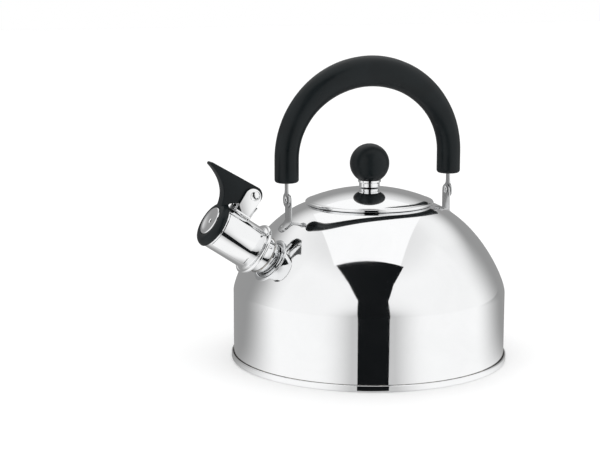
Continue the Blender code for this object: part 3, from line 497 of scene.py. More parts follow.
class Finish:
    """A material under construction, with short ways to add its nodes."""

    def __init__(self, name, **shader_inputs):
        self.material = bpy.data.materials.new(name)
        self.material.use_nodes = True
        self.tree = self.material.node_tree
        self.shader = self.tree.nodes["Principled BSDF"]
        for key, value in shader_inputs.items():
            self.shader.inputs[key.replace("_", " ")].default_value = value
        self.place = self.add("ShaderNodeTexCoord").outputs["Object"]

    def add(self, kind, inputs=None, **settings):
        made = self.tree.nodes.new(kind)
        for key, value in settings.items():
            setattr(made, key, value)
        for key, value in (inputs or {}).items():
            if isinstance(value, bpy.types.NodeSocket):
                self.tree.links.new(value, made.inputs[key])
            else:
                made.inputs[key].default_value = value
        return made

    def stretched(self, scale, turn=(0, 0, 0), centre=(0, 0, 0)):
        inputs = {"Vector": self.place, "Scale": scale, "Rotation": turn, "Location": centre}
        return self.add("ShaderNodeMapping", inputs).outputs["Vector"]

    def noise(self, scale, detail=3.0, roughness=0.5, place=None, distortion=0.0):
        inputs = {"Vector": place or self.place, "Scale": scale, "Detail": detail, "Roughness": roughness,
                  "Distortion": distortion}
        return self.add("ShaderNodeTexNoise", inputs).outputs["Fac"]

    def spread(self, value, low, high, to_low, to_high):
        inputs = {"Value": value, "From Min": low, "From Max": high, "To Min": to_low, "To Max": to_high}
        return self.add("ShaderNodeMapRange", inputs).outputs["Result"]

    def sum(self, first, second, operation="ADD"):
        return arithmetic(self.tree, operation, first, second)

    def mix(self, amount, first, second):
        made = self.add("ShaderNodeMix", data_type="RGBA")
        self.tree.links.new(amount, made.inputs["Factor"])
        for socket, value in zip((made.inputs[6], made.inputs[7]), (first, second)):
            if isinstance(value, bpy.types.NodeSocket):
                self.tree.links.new(value, socket)
            else:
                socket.default_value = (*value, 1.0)
        return made.outputs[2]

    def bump(self, height, strength, distance, under=None):
        inputs = {"Height": height, "Strength": strength, "Distance": distance}
        if under is not None:
            inputs["Normal"] = under
        return self.add("ShaderNodeBump", inputs).outputs["Normal"]

    def to(self, **sockets):
        for key, value in sockets.items():
            self.tree.links.new(value, self.shader.inputs[key.replace("_", " ")])
        return self.material


def shade(base, factor):
    return tuple(min(1.0, c * factor) for c in base)


def polished_steel(name, base, scratches=1.0):
    """Mirror-polished stainless steel with faint smudges, wiping marks and a trace of long waves."""
    made = Finish(name, Metallic=1.0)
    smudge = made.noise(26.0, 5.0, 0.62, distortion=0.6)
    wiping = made.noise(1.0, 4.0, 0.6, made.stretched((55, 55, 420)))
    dust = made.noise(1900.0, 2.0)
    roughness = made.sum(made.spread(smudge, 0.42, 0.72, 0.028, 0.075),
                         made.spread(wiping, 0.5, 0.8, 0.0, 0.03))
    roughness = made.sum(roughness, made.spread(dust, 0.66, 0.72, 0.0, 0.05))
    tone = made.mix(made.spread(smudge, 0.35, 0.75, 0.0, 1.0), base, shade(base, 0.965))
    waves = made.bump(made.noise(22.0, 1.0), 0.05, 0.3 * MM)
    marks = made.bump(wiping, 0.04 * scratches, 0.05 * MM, waves)
    return made.to(Base_Color=tone, Roughness=roughness, Normal=marks)


def satin_steel(name, base, grain=(2600, 2600, 160)):
    """Pressed steel with a fine drawn grain and slightly darker handling marks."""
    made = Finish(name, Metallic=1.0, Anisotropic=0.35)
    lines = made.noise(1.0, 3.0, 0.6, made.stretched(grain))
    stain = made.noise(190.0, 4.0, 0.6)
    tone = made.mix(made.spread(stain, 0.4, 0.75, 0.0, 1.0), base, shade(base, 0.86))
    tone = made.mix(made.spread(lines, 0.35, 0.65, 0.0, 0.4), tone, shade(base, 1.08))
    roughness = made.sum(made.spread(lines, 0.3, 0.7, 0.14, 0.22), made.spread(stain, 0.5, 0.8, 0.0, 0.06))
    return made.to(Base_Color=tone, Roughness=roughness, Normal=made.bump(lines, 0.08, 0.02 * MM))


def water_side(name, base):
    """The inside of the kettle: plain drawn steel with a thin bloom of limescale towards the bottom."""
    made = Finish(name, Metallic=1.0)
    height = made.add("ShaderNodeSeparateXYZ", {"Vector": made.place}).outputs["Z"]
    flecks = made.noise(320.0, 6.0, 0.7)
    cloud = made.noise(48.0, 4.0, 0.6)
    bloom = made.sum(made.spread(height, 20 * MM, 62 * MM, 0.55, 0.0), cloud, "MULTIPLY")
    bloom = made.sum(bloom, made.spread(flecks, 0.56, 0.7, 0.0, 0.35))
    tone = made.mix(bloom, shade(base, 0.82), (0.62, 0.6, 0.56))
    roughness = made.sum(made.spread(cloud, 0.3, 0.7, 0.26, 0.36), made.sum(bloom, 0.4, "MULTIPLY"))
    return made.to(Base_Color=tone, Roughness=roughness, Normal=made.bump(flecks, 0.2, 0.08 * MM))


def bakelite(name, base):
    """Black phenolic moulding: a soft satin sheen, faint flow marks and polish where hands rub it."""
    made = Finish(name, Specular_IOR_Level=0.17, Coat_Weight=0.06, Coat_Roughness=0.16)
    flow = made.noise(34.0, 4.0, 0.55, distortion=1.2)
    peel = made.noise(1500.0, 2.0, 0.5)
    speck = made.noise(5200.0, 1.0)
    rub = made.noise(60.0, 3.0, 0.6)
    tone = made.mix(made.spread(flow, 0.35, 0.7, 0.0, 1.0), base, shade(base, 1.5))
    tone = made.mix(made.spread(speck, 0.7, 0.8, 0.0, 0.5), tone, shade(base, 3.0))
    roughness = made.sum(made.spread(flow, 0.3, 0.7, 0.3, 0.4), made.spread(rub, 0.45, 0.75, 0.02, -0.08))
    return made.to(Base_Color=tone, Roughness=roughness, Normal=made.bump(peel, 0.22, 0.03 * MM))


def turned_aluminium(name, base):
    """Faced aluminium: fine concentric tool marks, a dull oxide and heat stains."""
    made = Finish(name, Metallic=1.0)
    feed = 0.45 * MM
    radius = made.add("ShaderNodeVectorMath", {0: made.stretched((1, 1, 0))}, operation="LENGTH")
    marks = made.sum(made.sum(radius.outputs["Value"], 2 * pi / feed, "MULTIPLY"), 0.0, "SINE")
    stain = made.noise(30.0, 6.0, 0.65, distortion=0.8)
    tone = made.mix(made.spread(stain, 0.4, 0.75, 0.0, 1.0), base, (0.4, 0.36, 0.31))
    roughness = made.spread(stain, 0.3, 0.7, 0.36, 0.55)
    return made.to(Base_Color=tone, Roughness=roughness, Normal=made.bump(marks, 0.25, 0.03 * MM))


def turned_brass(name, base):
    made = Finish(name, Metallic=1.0)
    stain = made.noise(420.0, 4.0, 0.6)
    tone = made.mix(made.spread(stain, 0.4, 0.7, 0.0, 1.0), base, shade(base, 0.6))
    return made.to(Base_Color=tone, Roughness=made.spread(stain, 0.3, 0.7, 0.24, 0.42))


def weld_seam(name, base):
    """A polished-over weld bead: rippled, with a straw to blue heat tint."""
    made = Finish(name, Metallic=1.0)
    ripple = made.noise(700.0, 2.0, 0.5)
    heat = made.noise(240.0, 3.0, 0.5)
    tone = made.mix(made.spread(heat, 0.35, 0.65, 0.0, 1.0), shade(base, 0.5), (0.36, 0.33, 0.29))
    tone = made.mix(made.spread(ripple, 0.55, 0.75, 0.0, 0.5), tone, (0.2, 0.22, 0.26))
    return made.to(Base_Color=tone, Roughness=made.spread(ripple, 0.3, 0.7, 0.16, 0.28),
                   Normal=made.bump(ripple, 0.2, 0.05 * MM))


LOOKS = {}


def looks(colours):
    """Every finish, made once."""
    if not LOOKS:
        steel = tuple(colours.steel)
        satin = tuple(colours.satin)
        LOOKS["steel"] = polished_steel("polished_steel", steel)
        LOOKS["tube"] = polished_steel("polished_tube", shade(steel, 0.99))
        LOOKS["satin"] = satin_steel("satin_steel", satin)
        LOOKS["strip"] = satin_steel("strip_steel", shade(satin, 0.92), (2600, 2600, 260))
        LOOKS["wire"] = satin_steel("spring_wire", shade(satin, 0.8), (900, 900, 900))
        LOOKS["inside"] = water_side("water_side", satin)
        LOOKS["bakelite"] = bakelite("black_bakelite", tuple(colours.bakelite))
        # Painted shade: steel darkened to a fifth of the satin colour, put on the seam bead's inward faces so
        # that the wall reflects a dark crevice line
        LOOKS["crevice"] = weld_seam("seam_crevice", shade(satin, 0.2))
        LOOKS["disc"] = turned_aluminium("turned_aluminium", tuple(colours.aluminium))
        LOOKS["brass"] = turned_brass("turned_brass", tuple(colours.brass))
        LOOKS["weld"] = weld_seam("weld_seam", steel)
    return LOOKS


# Pieces ---------------------------------------------------------------------------------------------------

def shell_outline(body, fits):
    """Closed section of the body: neck, rolled lip, dome, wall, and the inside back to the neck."""
    dome = dome_curve(body)
    inner = offset(dome, -fits.sheet)
    inner[0] = (dome[0][0], dome[0][1] - fits.sheet)
    inner[-1] = (body.radius - fits.sheet, body.wall_top)
    lip = (body.mouth_radius + body.lip_radius, body.top - body.lip_radius)
    roll = arc(lip, body.lip_radius, 180, 90, 10)[:-1]
    under_roll = arc(lip, body.lip_radius - fits.sheet, 90, 180, 8)[1:]
    neck_z = body.top - body.neck_depth
    foot_z = BODY_LOW.z
    wall = [(body.radius, body.wall_top + (foot_z - body.wall_top) * i / 12) for i in range(1, 13)]
    outline = [(body.mouth_radius, neck_z), *roll, *dome, *wall]
    outline += [(body.radius - fits.sheet, foot_z), *inner[::-1], *under_roll]
    return outline + [(body.mouth_radius + fits.sheet, neck_z)]


class PieceOperator:
    """What the operators of the pieces share: each builds with the scene's sizes and finishes"""

    def execute(self, context):
        sizes = context.scene.kettle
        self.build(sizes, looks(sizes.colours))
        return {"FINISHED"}


class KETTLE_OT_body(PieceOperator, Operator):
    """Body: wall and dome in one drawn sheet, with its rolled lip and neck"""
    bl_idname = "kettle.body"
    bl_label = "Body"

    def build(self, sizes, finishes):
        body = sizes.body
        shell = lathe("kettle_body", shell_outline(body, sizes.fits), sizes.fits.steps)
        hole = drum(sizes.spout.stub_radius + sizes.fits.gap, 30 * MM,
                    tube_frame(sizes.spout.stub_back - 3 * MM, 0, sizes.lever), steps=96)
        pick(shell)
        bpy.ops.object.shade_smooth_by_angle(angle=radians(35))
        bpy.ops.object.duplicate()
        whole = bpy.context.object
        carve(shell, hole)
        pick(shell)
        bpy.ops.object.shade_smooth_by_angle(angle=radians(35))
        shell.data.materials.append(finishes["steel"])
        shell.data.materials.append(finishes["inside"])
        for face in shell.data.polygons:
            across = face.normal.x * face.center.x + face.normal.y * face.center.y
            if face.normal.z < -0.05 or (across < 0 and face.center.z < body.top - body.neck_depth):
                face.material_index = 1
        root = tube_frame(sizes.spout.tube_length, 0, sizes.lever).translation
        around = shell.vertex_groups.new(name="around_hole")
        around.add([v.index for v in shell.data.vertices if (v.co - root).length < 34 * MM], 1.0, "REPLACE")
        modify(shell, "DATA_TRANSFER", object=whole, use_loop_data=True, data_types_loops={"CUSTOM_NORMAL"},
               loop_mapping="POLYINTERP_NEAREST", vertex_group="around_hole")
        bpy.data.objects.remove(whole)
        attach(shell, "body")
        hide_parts("body_shell")


class KETTLE_OT_base(PieceOperator, Operator):
    """Base sheet seamed around the wall, and the heat spreader disc under it"""
    bl_idname = "kettle.base"
    bl_label = "Base"

    def build(self, sizes, finishes):
        base = sizes.base
        sheet = sizes.fits.sheet
        raised = base.disc_thickness + sizes.fits.gap
        step = 1.5 * MM
        inside = base.disc_radius + sizes.fits.gap + step
        bead_inside = sizes.body.radius + sizes.fits.gap
        top = base.bead_top + 0.5 * MM
        rounding = (base.bead_radius - bead_inside) / 2
        crest = arc((bead_inside + rounding, top - rounding), rounding, 180, 0, 12)
        toe = arc((base.bead_radius - sheet, base.bead_lift + sheet), sheet, 0, -90, 6)
        dish = [(inside, raised + sheet), (inside + step, base.bead_lift + sheet)]
        under = [(inside + step - sheet, base.bead_lift), (inside - sheet, raised), (0, raised)]
        outline = [(0, raised + sheet), *dish, (bead_inside, base.bead_lift + sheet), *crest, *toe, *under]
        pan = lathe("base_pan_seamed", outline, sizes.fits.steps)
        pan.data.materials.append(finishes["steel"])
        pan.data.materials.append(finishes["inside"])
        pan.data.materials.append(finishes["crevice"])
        for face in pan.data.polygons:
            radius = Vector(face.center[:2]).length
            inwards = face.normal.x * face.center.x + face.normal.y * face.center.y < -0.2 * radius
            if face.center.z > raised and face.normal.z > 0.5 and radius < inside:
                face.material_index = 1
            # The bead's inward faces take the painted crevice shade, a dark line where the wall meets the
            # bead
            elif inwards and radius > bead_inside - MM:
                face.material_index = 2
        finish(pan, "body", finishes["steel"], ["base_pan"])

        chamfer = 1.0 * MM
        groove = 0.35 * MM
        face = [(base.disc_radius, base.disc_thickness), (base.disc_radius, chamfer),
                (base.disc_radius - chamfer * 0.3, chamfer * 0.3), (base.disc_radius - chamfer, 0)]
        radius = base.disc_radius - base.groove_pitch
        while radius > base.groove_pitch:
            face += [(radius + groove * 2, 0), (radius + groove, groove), (radius - groove, groove),
                     (radius - groove * 2, 0)]
            radius -= base.groove_pitch
        disc = lathe("heat_spreader", [(0, base.disc_thickness), *face, (0, 0)], sizes.fits.steps)
        finish(disc, "body", finishes["disc"], ["heat_disc"], smooth=25)


class KETTLE_OT_stub(PieceOperator, Operator):
    """Spout stub, the pip that the whistle unit snaps on, and the weld bead around its root"""
    bl_idname = "kettle.stub"
    bl_label = "Spout stub"

    def build(self, sizes, finishes):
        spout = sizes.spout
        sheet = sizes.fits.sheet
        axis = tube_frame(0, 0, sizes.lever)
        inner = spout.stub_radius - sheet
        front = -spout.stub_front
        back = -spout.stub_back
        rim = arc((spout.stub_radius - sheet / 2, front - sheet / 2), sheet / 2, 180, 0, 6)
        outline = [(inner, back), *rim, (spout.stub_radius, back)]
        stub = lathe("spout_stub_polished", outline, 96, axis @ OUTWARDS)
        pip = ball_of(32, 16, scale=(2.6 * MM, 1.2 * MM, 0.7 * MM))
        around = Matrix.Rotation(radians(60), 4, "X")
        set_down(pip, axis @ Matrix.Translation((spout.tube_length + 3.6 * MM, 0, 0)) @ around
                 @ Matrix.Translation((0, 0, spout.stub_radius - 0.1 * MM)))
        stub = gather("spout_stub_polished", stub, pip)
        finish(stub, "body", finishes["tube"], ["spout_stub"])

        ring = spout.stub_radius + spout.weld * 0.6
        outside = axis @ Matrix.Translation((spout.tube_length - 4 * MM, 0, 0)) @ OUTWARDS
        leave_all()
        bpy.ops.mesh.primitive_circle_add(vertices=96, radius=ring)
        seam = bpy.context.object
        seam.matrix_world = outside
        modify(seam, "SHRINKWRAP", target=bpy.data.objects["kettle_body"], wrap_method="PROJECT",
               use_project_z=True, use_negative_direction=True, use_positive_direction=False)
        set_down(seam, Matrix())
        path = [tuple(v.co) for v in seam.data.vertices]
        bpy.data.objects.remove(seam)
        sizes_around = [1 + 0.08 * sin(i * 1.9) + 0.06 * sin(i * 0.7) for i in range(len(path))]
        weld = wire("stub_weld", path, spout.weld, 3, cyclic=True, radii=sizes_around)
        finish(weld, "body", finishes["weld"])


class KETTLE_OT_tube(PieceOperator, Operator):
    """Whistle tube with its rolled flange, and the friction sleeve inside it"""
    bl_idname = "kettle.tube"
    bl_label = "Whistle tube"

    def build(self, sizes, finishes):
        spout = sizes.spout
        sheet = sizes.fits.sheet
        axis = tube_frame(0, 0, sizes.lever) @ OUTWARDS
        inner = spout.tube_radius - sheet
        end = -spout.tube_length
        flare_z = end + spout.flange_depth
        bead_centre = (spout.flange_radius - spout.flange_bead, end + spout.flange_bead)
        bead = arc(bead_centre, spout.flange_bead, 125, -90, 16)
        flare = bezier((spout.tube_radius, flare_z), (spout.tube_radius, flare_z - 1.2 * MM),
                       (bead[0][0] - 0.8 * MM, bead[0][1] + 0.5 * MM), bead[0], 6)
        throat = [(spout.tube_radius, end), (inner + 0.2 * MM, end + 0.4 * MM), (inner, end + 1.2 * MM)]
        mouth = arc((spout.tube_radius - sheet / 2, -sheet / 2), sheet / 2, 180, 0, 6)
        outline = [*mouth, *flare, *bead[1:], *throat]
        tube = lathe("whistle_tube_polished", outline, 128, axis)
        finish(tube, "whistle_unit", finishes["tube"], ["whistle_tube"])

        sleeve_in = spout.stub_radius + sizes.fits.gap
        sleeve_out = inner - sizes.fits.gap
        low = -spout.sleeve_back
        high = -spout.sleeve_front
        ease = 0.5 * MM
        outline = [(sleeve_in, low + ease), (sleeve_in, high - ease), (sleeve_in + ease, high)]
        outline += [(sleeve_out, high), (sleeve_out, low), (sleeve_in + ease, low)]
        sleeve = lathe("friction_sleeve_rolled", outline, 96, axis)
        finish(sleeve, "whistle_unit", finishes["satin"], ["friction_sleeve"])


class KETTLE_OT_bracket(PieceOperator, Operator):
    """Saddle on the tube with its two ears and spring tab, and the lever pin"""
    bl_idname = "kettle.bracket"
    bl_label = "Lever bracket"

    def build(self, sizes, finishes):
        spout = sizes.spout
        lever = sizes.lever
        gap = sizes.fits.gap
        axis = tube_frame(0, 0, lever)
        inner = spout.tube_radius + gap
        outer = inner + lever.saddle_sheet
        front = -1.0 * MM
        back = -(spout.tube_length - spout.flange_depth - gap)
        spin_start = axis @ OUTWARDS @ Matrix.Rotation(-lever.saddle_spread, 4, "Z")
        outline = [(inner, front), (outer, front), (outer, back), (inner, back)]
        saddle = lathe("saddle", outline, 48, spin_start, 2 * lever.saddle_spread)
        soften(saddle, 0.25 * MM, 2)

        radius = lever.ear_width / 2
        crest = arc((lever.ear_front + radius, lever.ear_top - radius), radius, 0, 180, 28)
        foot = outer * cos(atan2(lever.ear_spread / 2, outer)) - lever.saddle_sheet * 0.3
        ear_outline = [(lever.ear_front, foot), (lever.ear_front + lever.ear_width, foot), *crest]
        parts = [saddle]
        for side in (-1, 1):
            place = axis @ Matrix.Translation((0, side * (lever.ear_spread - lever.saddle_sheet) / 2, 0))
            parts.append(soften(slab("ear", ear_outline, lever.saddle_sheet, place), 0.22 * MM, 2))
            fold = [(lever.ear_front - 0.6 * MM, foot), (lever.ear_front + lever.ear_width + 0.6 * MM, foot),
                    (lever.ear_front + lever.ear_width + 0.2 * MM, foot + 1.6 * MM),
                    (lever.ear_front - 0.2 * MM, foot + 1.6 * MM)]
            parts.append(soften(slab("ear_fold", fold, lever.saddle_sheet * 1.7, place), 0.5 * MM, 4))

        tab_foot = lever.pivot_back + TAB_BACK
        lean = bezier((tab_foot, outer - 0.3 * MM), (tab_foot, outer + 4 * MM),
                      (tab_foot + 0.6 * MM, outer + 6 * MM), (tab_foot + TAB_LEAN, TAB_TOP), 10)
        tab_outline = offset(lean, sizes.fits.sheet / 2) + offset(lean, -sizes.fits.sheet / 2)[::-1]
        parts.append(soften(slab("tab", tab_outline, TAB_WIDTH, axis), 0.2 * MM, 2))
        bracket = gather("lever_bracket_pressed", *parts)
        finish(bracket, "whistle_unit", finishes["tube"], ["lever_bracket"])

        across = tube_frame(lever.pivot_back, lever.pivot_up, lever) @ Matrix.Rotation(pi / 2, 4, "X")
        pin = rivet("lever_pin_headed", lever.pin_radius, lever.ear_spread + 2 * gap, lever.pin_head,
                    PIN_CROWN, across)
        finish(pin, "whistle_unit", finishes["steel"], ["lever_pin"])


def rivet(name, radius, grip, head_radius, head_height, frame_of):
    """A rivet with a domed head at each end, centred on its frame and lying along its Z axis."""
    half = grip / 2
    crown = (head_radius ** 2 + head_height ** 2) / (2 * head_height)
    sweep = degrees(acos(1 - head_height / crown))
    top = arc((0, half + head_height - crown), crown, 90, 90 - sweep * 0.94, 10)
    top[0] = (0, half + head_height)
    top += [(head_radius, half + 0.22 * MM), (head_radius - 0.12 * MM, half)]
    bottom = [(r, -z) for r, z in top[::-1]]
    return lathe(name, [*top, (radius, half), (radius, -half), *bottom], 48, frame_of)


class KETTLE_OT_lever(PieceOperator, Operator):
    """Moulded whistle lever: thumb tab, hub, neck and the cap over the tube"""
    bl_idname = "kettle.lever"
    bl_label = "Whistle lever"

    def build(self, sizes, finishes):
        lever = sizes.lever
        gap = sizes.fits.gap
        pivot = tube_frame(lever.pivot_back, lever.pivot_up, lever)
        axis = tube_frame(0, 0, lever)
        root = lever.cap_radius - lever.pivot_up - 4.5 * MM
        tip = arc((-lever.thumb_reach, lever.thumb_lift), lever.thumb_tip, 90, 265, 12)
        neck = (-lever.pivot_back - lever.cap_length, root)
        pull = (-lever.thumb_reach + 10.8 * MM, lever.thumb_lift - 4.2 * MM)
        front = bezier(tip[-1], pull, (neck[0] - 1.5 * MM, root + 12.8 * MM), neck, 28)[1:]
        rear = -lever.pivot_back - gap
        saddle_top = sizes.spout.tube_radius + gap + lever.saddle_sheet
        over_saddle = saddle_top + 2 * gap - lever.pivot_up
        shank = [(rear, root), (rear, over_saddle),
                 (lever.ear_front - lever.pivot_back - 1.0 * MM, over_saddle + 3.4 * MM)]
        hub = arc((0, 0), lever.hub_radius, -80, 85, 28)
        web = slab("web", [*tip, *front, *shank, *hub], lever.web_width, pivot)
        soften(web, lever.edge, 5, 40)

        rounding = 5.0 * MM
        edge = arc((lever.cap_radius - rounding, lever.cap_length - rounding), rounding, 0, 90, 16)
        outline = [(0, gap), (lever.cap_radius - 0.3 * MM, gap), (lever.cap_radius, gap + 0.2 * MM)]
        outline += [*edge[1:], (0, lever.cap_length)]
        cap = lathe("cap", outline, 96, axis @ OUTWARDS)
        socket = [lever.capsule_radius + gap, 60 * MM, tube_frame(0, lever.capsule_lift, lever)]
        carve(cap, drum(*socket))
        soften(cap, 0.3 * MM, 2, 50)
        socket = drum(*socket)
        coil = drum(POCKET_RADIUS, POCKET_WIDTH, pivot, "Y")
        slot = block((-SLOT_FRONT, -SLOT_HALF, -2 * lever.hub_radius),
                     (2 * lever.hub_radius, SLOT_HALF, SLOT_TOP), pivot)
        bore = drum(lever.pin_radius + gap, 4 * lever.web_width, pivot, "Y")
        carve(web, socket, coil, slot, bore)
        moulding = gather("lever_moulding", web, cap)
        finish(moulding, "lever", finishes["bakelite"], ["whistle_lever"], smooth=40)


class KETTLE_OT_capsule(PieceOperator, Operator):
    """Front cup and back plate of the whistle, each with its sounding hole"""
    bl_idname = "kettle.capsule"
    bl_label = "Whistle capsule"

    def build(self, sizes, finishes):
        lever = sizes.lever
        gap = sizes.fits.gap
        axis = tube_frame(0, lever.capsule_lift, lever) @ OUTWARDS
        sheet = CAPSULE_SHEET
        face = lever.cap_length + lever.capsule_proud
        inner = lever.capsule_radius - sheet
        dish = 0.9 * MM
        rim = arc((lever.capsule_radius - 1.0 * MM, face - 1.0 * MM), 1.0 * MM, 90, 0, 8)
        hole = lever.sound_hole
        pressed = [(hole, face - dish - 0.5 * MM), (hole + 0.5 * MM, face - dish),
                   (6.0 * MM, face - dish * 0.8), (8.2 * MM, face - 0.15 * MM), (9.0 * MM, face)]
        back = gap
        under = [(inner, back), (inner, face - sheet - 0.4 * MM), (inner - 0.4 * MM, face - sheet)]
        under += [(8.2 * MM, face - sheet - 0.15 * MM), (6.0 * MM, face - sheet - dish * 0.8)]
        under += [(hole, face - dish - 0.5 * MM - sheet)]
        outline = [*pressed, *rim, (lever.capsule_radius, back), *under]
        cup = lathe("whistle_cup_pressed", outline, 96, axis)
        finish(cup, "lever", finishes["steel"], ["whistle_cup"])

        outer = inner - gap
        low = back + 2.0 * MM
        high = low + sheet
        crown = 0.5 * MM
        outline = [(hole, low + crown), (hole, high + crown), (6 * MM, high + crown), (8 * MM, high)]
        outline += [(outer, high), (outer, low), (8 * MM, low), (6 * MM, low + crown)]
        plate = lathe("whistle_plate_pressed", outline, 96, axis)
        finish(plate, "lever", finishes["satin"], ["whistle_back_plate"])


class KETTLE_OT_spring(PieceOperator, Operator):
    """Torsion spring around the lever pin, which winds up as the lever opens"""
    bl_idname = "kettle.spring"
    bl_label = "Lever spring"

    def build(self, sizes, finishes):
        lever = sizes.lever
        radius = COIL_RADIUS
        half = COIL_HALF
        slope = radians(40)
        start = -pi / 2 - slope
        end = -pi / 2 - 2 * pi * COIL_TURNS
        count = ceil((start - end) / (2 * pi) * 24)
        leaves = (radius * cos(start), radius * sin(start))
        reach = TAB_BACK + TAB_LEAN / 2 - sizes.fits.sheet / 2 - sizes.fits.gap - COIL_WIRE
        path = [(reach, -half, leaves[1] - (reach - leaves[0]) * tan(slope))]
        for i in range(count + 1):
            turn = start + (end - start) * i / count
            path.append((radius * cos(turn), 2 * half * i / count - half, radius * sin(turn)))
        path.append((-COIL_LEG, half, -radius))
        spring = wire("lever_spring_wound", path, COIL_WIRE, 3)
        pivot = tube_frame(lever.pivot_back, lever.pivot_up, lever)
        set_down(spring, pivot)
        pick(spring)
        bpy.ops.object.shade_smooth_by_angle(angle=radians(50))
        spring.data.materials.append(finishes["wire"])
        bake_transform(spring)
        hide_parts("lever_spring")


class KETTLE_OT_lid(PieceOperator, Operator):
    """Domed lid with its rolled rim, and the locating skirt under it"""
    bl_idname = "kettle.lid"
    bl_label = "Lid"

    def build(self, sizes, finishes):
        lid = sizes.lid
        rim = lid.radius - lid.edge
        radii = [SCREW_HOLE + (rim - SCREW_HOLE) * i / 30 for i in range(31)]
        top = [(r, lid_height(lid, r)) for r in radii]
        bead = arc((rim, top[-1][1] - lid.edge), lid.edge, 70, -180, 18)
        under = [(r, lid_height(lid, r) - lid.sheet) for r in [*radii[:-2], rim - lid.edge]]
        shell = lathe("lid_domed", [*top, *bead, *under[::-1]], sizes.fits.steps)
        finish(shell, "lid", finishes["steel"], ["lid_shell"])

        outer = lid.skirt_radius
        inner = outer - lid.sheet
        flange = outer - 5.0 * MM
        drop = lid.sheet + sizes.fits.gap
        low = lid_height(lid, outer) - drop - lid.skirt_depth
        corner = lid_height(lid, outer) - drop
        turn_in = 1.0 * MM
        outline = [(flange, lid_height(lid, flange) - drop), (outer - turn_in, corner + 0.1 * MM)]
        outline += [(outer - 0.25 * MM, corner - 0.25 * MM), (outer, corner - turn_in)]
        outline += [(outer, low + 0.3 * MM), (outer - 0.2 * MM, low)]
        outline += [(inner, low), (inner, corner - drop - 0.4 * MM)]
        outline += [(flange, lid_height(lid, flange) - drop - lid.sheet)]
        skirt = lathe("lid_skirt_rolled", outline, sizes.fits.steps)
        finish(skirt, "lid", finishes["tube"], ["lid_skirt"])


class KETTLE_OT_knob(PieceOperator, Operator):
    """Ball knob with its ferrule, insert, washer and screw"""
    bl_idname = "kettle.knob"
    bl_label = "Knob"

    def build(self, sizes, finishes):
        lid = sizes.lid
        gap = sizes.fits.gap
        ball = ball_of(96, 64, lid.ball_radius, location=(0, 0, lid.ball_height))
        ball.name = "knob_ball_moulded"
        set_down(ball, Matrix())
        low = lid.ball_height - lid.ball_radius + INSERT_LIFT
        high = low + INSERT_LENGTH
        deep = 30 * MM
        socket = Matrix.Translation((0, 0, high + MM - deep / 2))
        carve(ball, drum(INSERT_RADIUS + gap, deep, socket, "Z", 48))
        soften(ball, 0.25 * MM, 2, 50)
        finish(ball, "lid", finishes["bakelite"], ["knob_ball"], smooth=30)

        hole = SCREW_HOLE
        seat = lid.ball_radius + gap
        radii = [hole + (lid.ferrule_radius - 0.3 * MM - hole) * i / 10 for i in range(11)]
        cup = [(r, lid.ball_height - sqrt(seat ** 2 - r ** 2)) for r in radii]
        foot = lid.top + gap
        top = lid.ball_height - sqrt(seat ** 2 - lid.ferrule_radius ** 2)
        collar = lid.ferrule_radius
        body_radius = collar - 0.9 * MM
        waist = [(collar, top - 0.2 * MM), (collar, top - 1.5 * MM), (collar - 0.3 * MM, top - 1.9 * MM),
                 (body_radius - 0.3 * MM, top - 2.0 * MM), (body_radius - 0.3 * MM, top - 2.3 * MM),
                 (body_radius, top - 2.6 * MM)]
        edge = arc((body_radius - 0.7 * MM, foot + 0.7 * MM), 0.7 * MM, 0, -90, 6)
        ferrule = lathe("knob_ferrule_turned", [*cup, *waist, *edge, (hole, foot)], 96)
        finish(ferrule, "lid", finishes["steel"], ["knob_ferrule"])

        ridges = []
        for i in range(7):
            z = high - 1.0 * MM - i * (high - low - 2.0 * MM) / 6
            ridges += [(INSERT_RADIUS, z + 0.5 * MM), (INSERT_RADIUS - 0.3 * MM, z)]
        outline = [(hole, high), (INSERT_RADIUS - 0.3 * MM, high), *ridges]
        outline += [(INSERT_RADIUS - 0.2 * MM, low), (hole, low)]
        insert = lathe("knob_insert_turned", outline, 48)
        finish(insert, "lid", finishes["brass"], ["knob_insert"])

        wide = WASHER_RADIUS
        ease = 0.2 * MM
        washer_top = lid_height(lid, wide) - lid.sheet - gap
        washer_low = washer_top - WASHER_THICKNESS
        outline = [(hole, washer_top), (wide - ease, washer_top), (wide, washer_top - ease),
                   (wide, washer_low + ease), (wide - ease, washer_low), (hole, washer_low)]
        washer = lathe("knob_washer_pressed", outline, 48)
        finish(washer, "lid", finishes["satin"], ["knob_washer"])

        head_top = washer_low - gap
        head_low = head_top - 2.4 * MM
        shaft = SCREW_RADIUS
        threads = []
        z = high - 1.6 * MM
        while z > head_top + 0.8 * MM:
            threads += [(shaft, z), (shaft - 0.25 * MM, z - SCREW_PITCH / 2)]
            z -= SCREW_PITCH
        crown = 7.4 * MM
        dome = [(min(r, SCREW_HEAD - 0.2 * MM), z) for r, z in arc((0, head_low + crown), crown, -56, -90, 8)]
        outline = [(0, high - 1 * MM), (shaft - 0.4 * MM, high - 1 * MM), *threads, (shaft, head_top)]
        outline += [(SCREW_HEAD, head_top), (SCREW_HEAD, head_top - 0.6 * MM), *dome[1:-1], (0, head_low)]
        screw = lathe("knob_screw_turned", outline, 48)
        reach = 2.6 * MM
        across = 0.45 * MM
        for turn in (0, pi / 2):
            slot = block((-reach, -across, head_low - MM), (reach, across, head_low + MM),
                         Matrix.Rotation(turn, 4, "Z"))
            carve(screw, slot)
        finish(screw, "lid", finishes["satin"], ["knob_screw"], smooth=30)


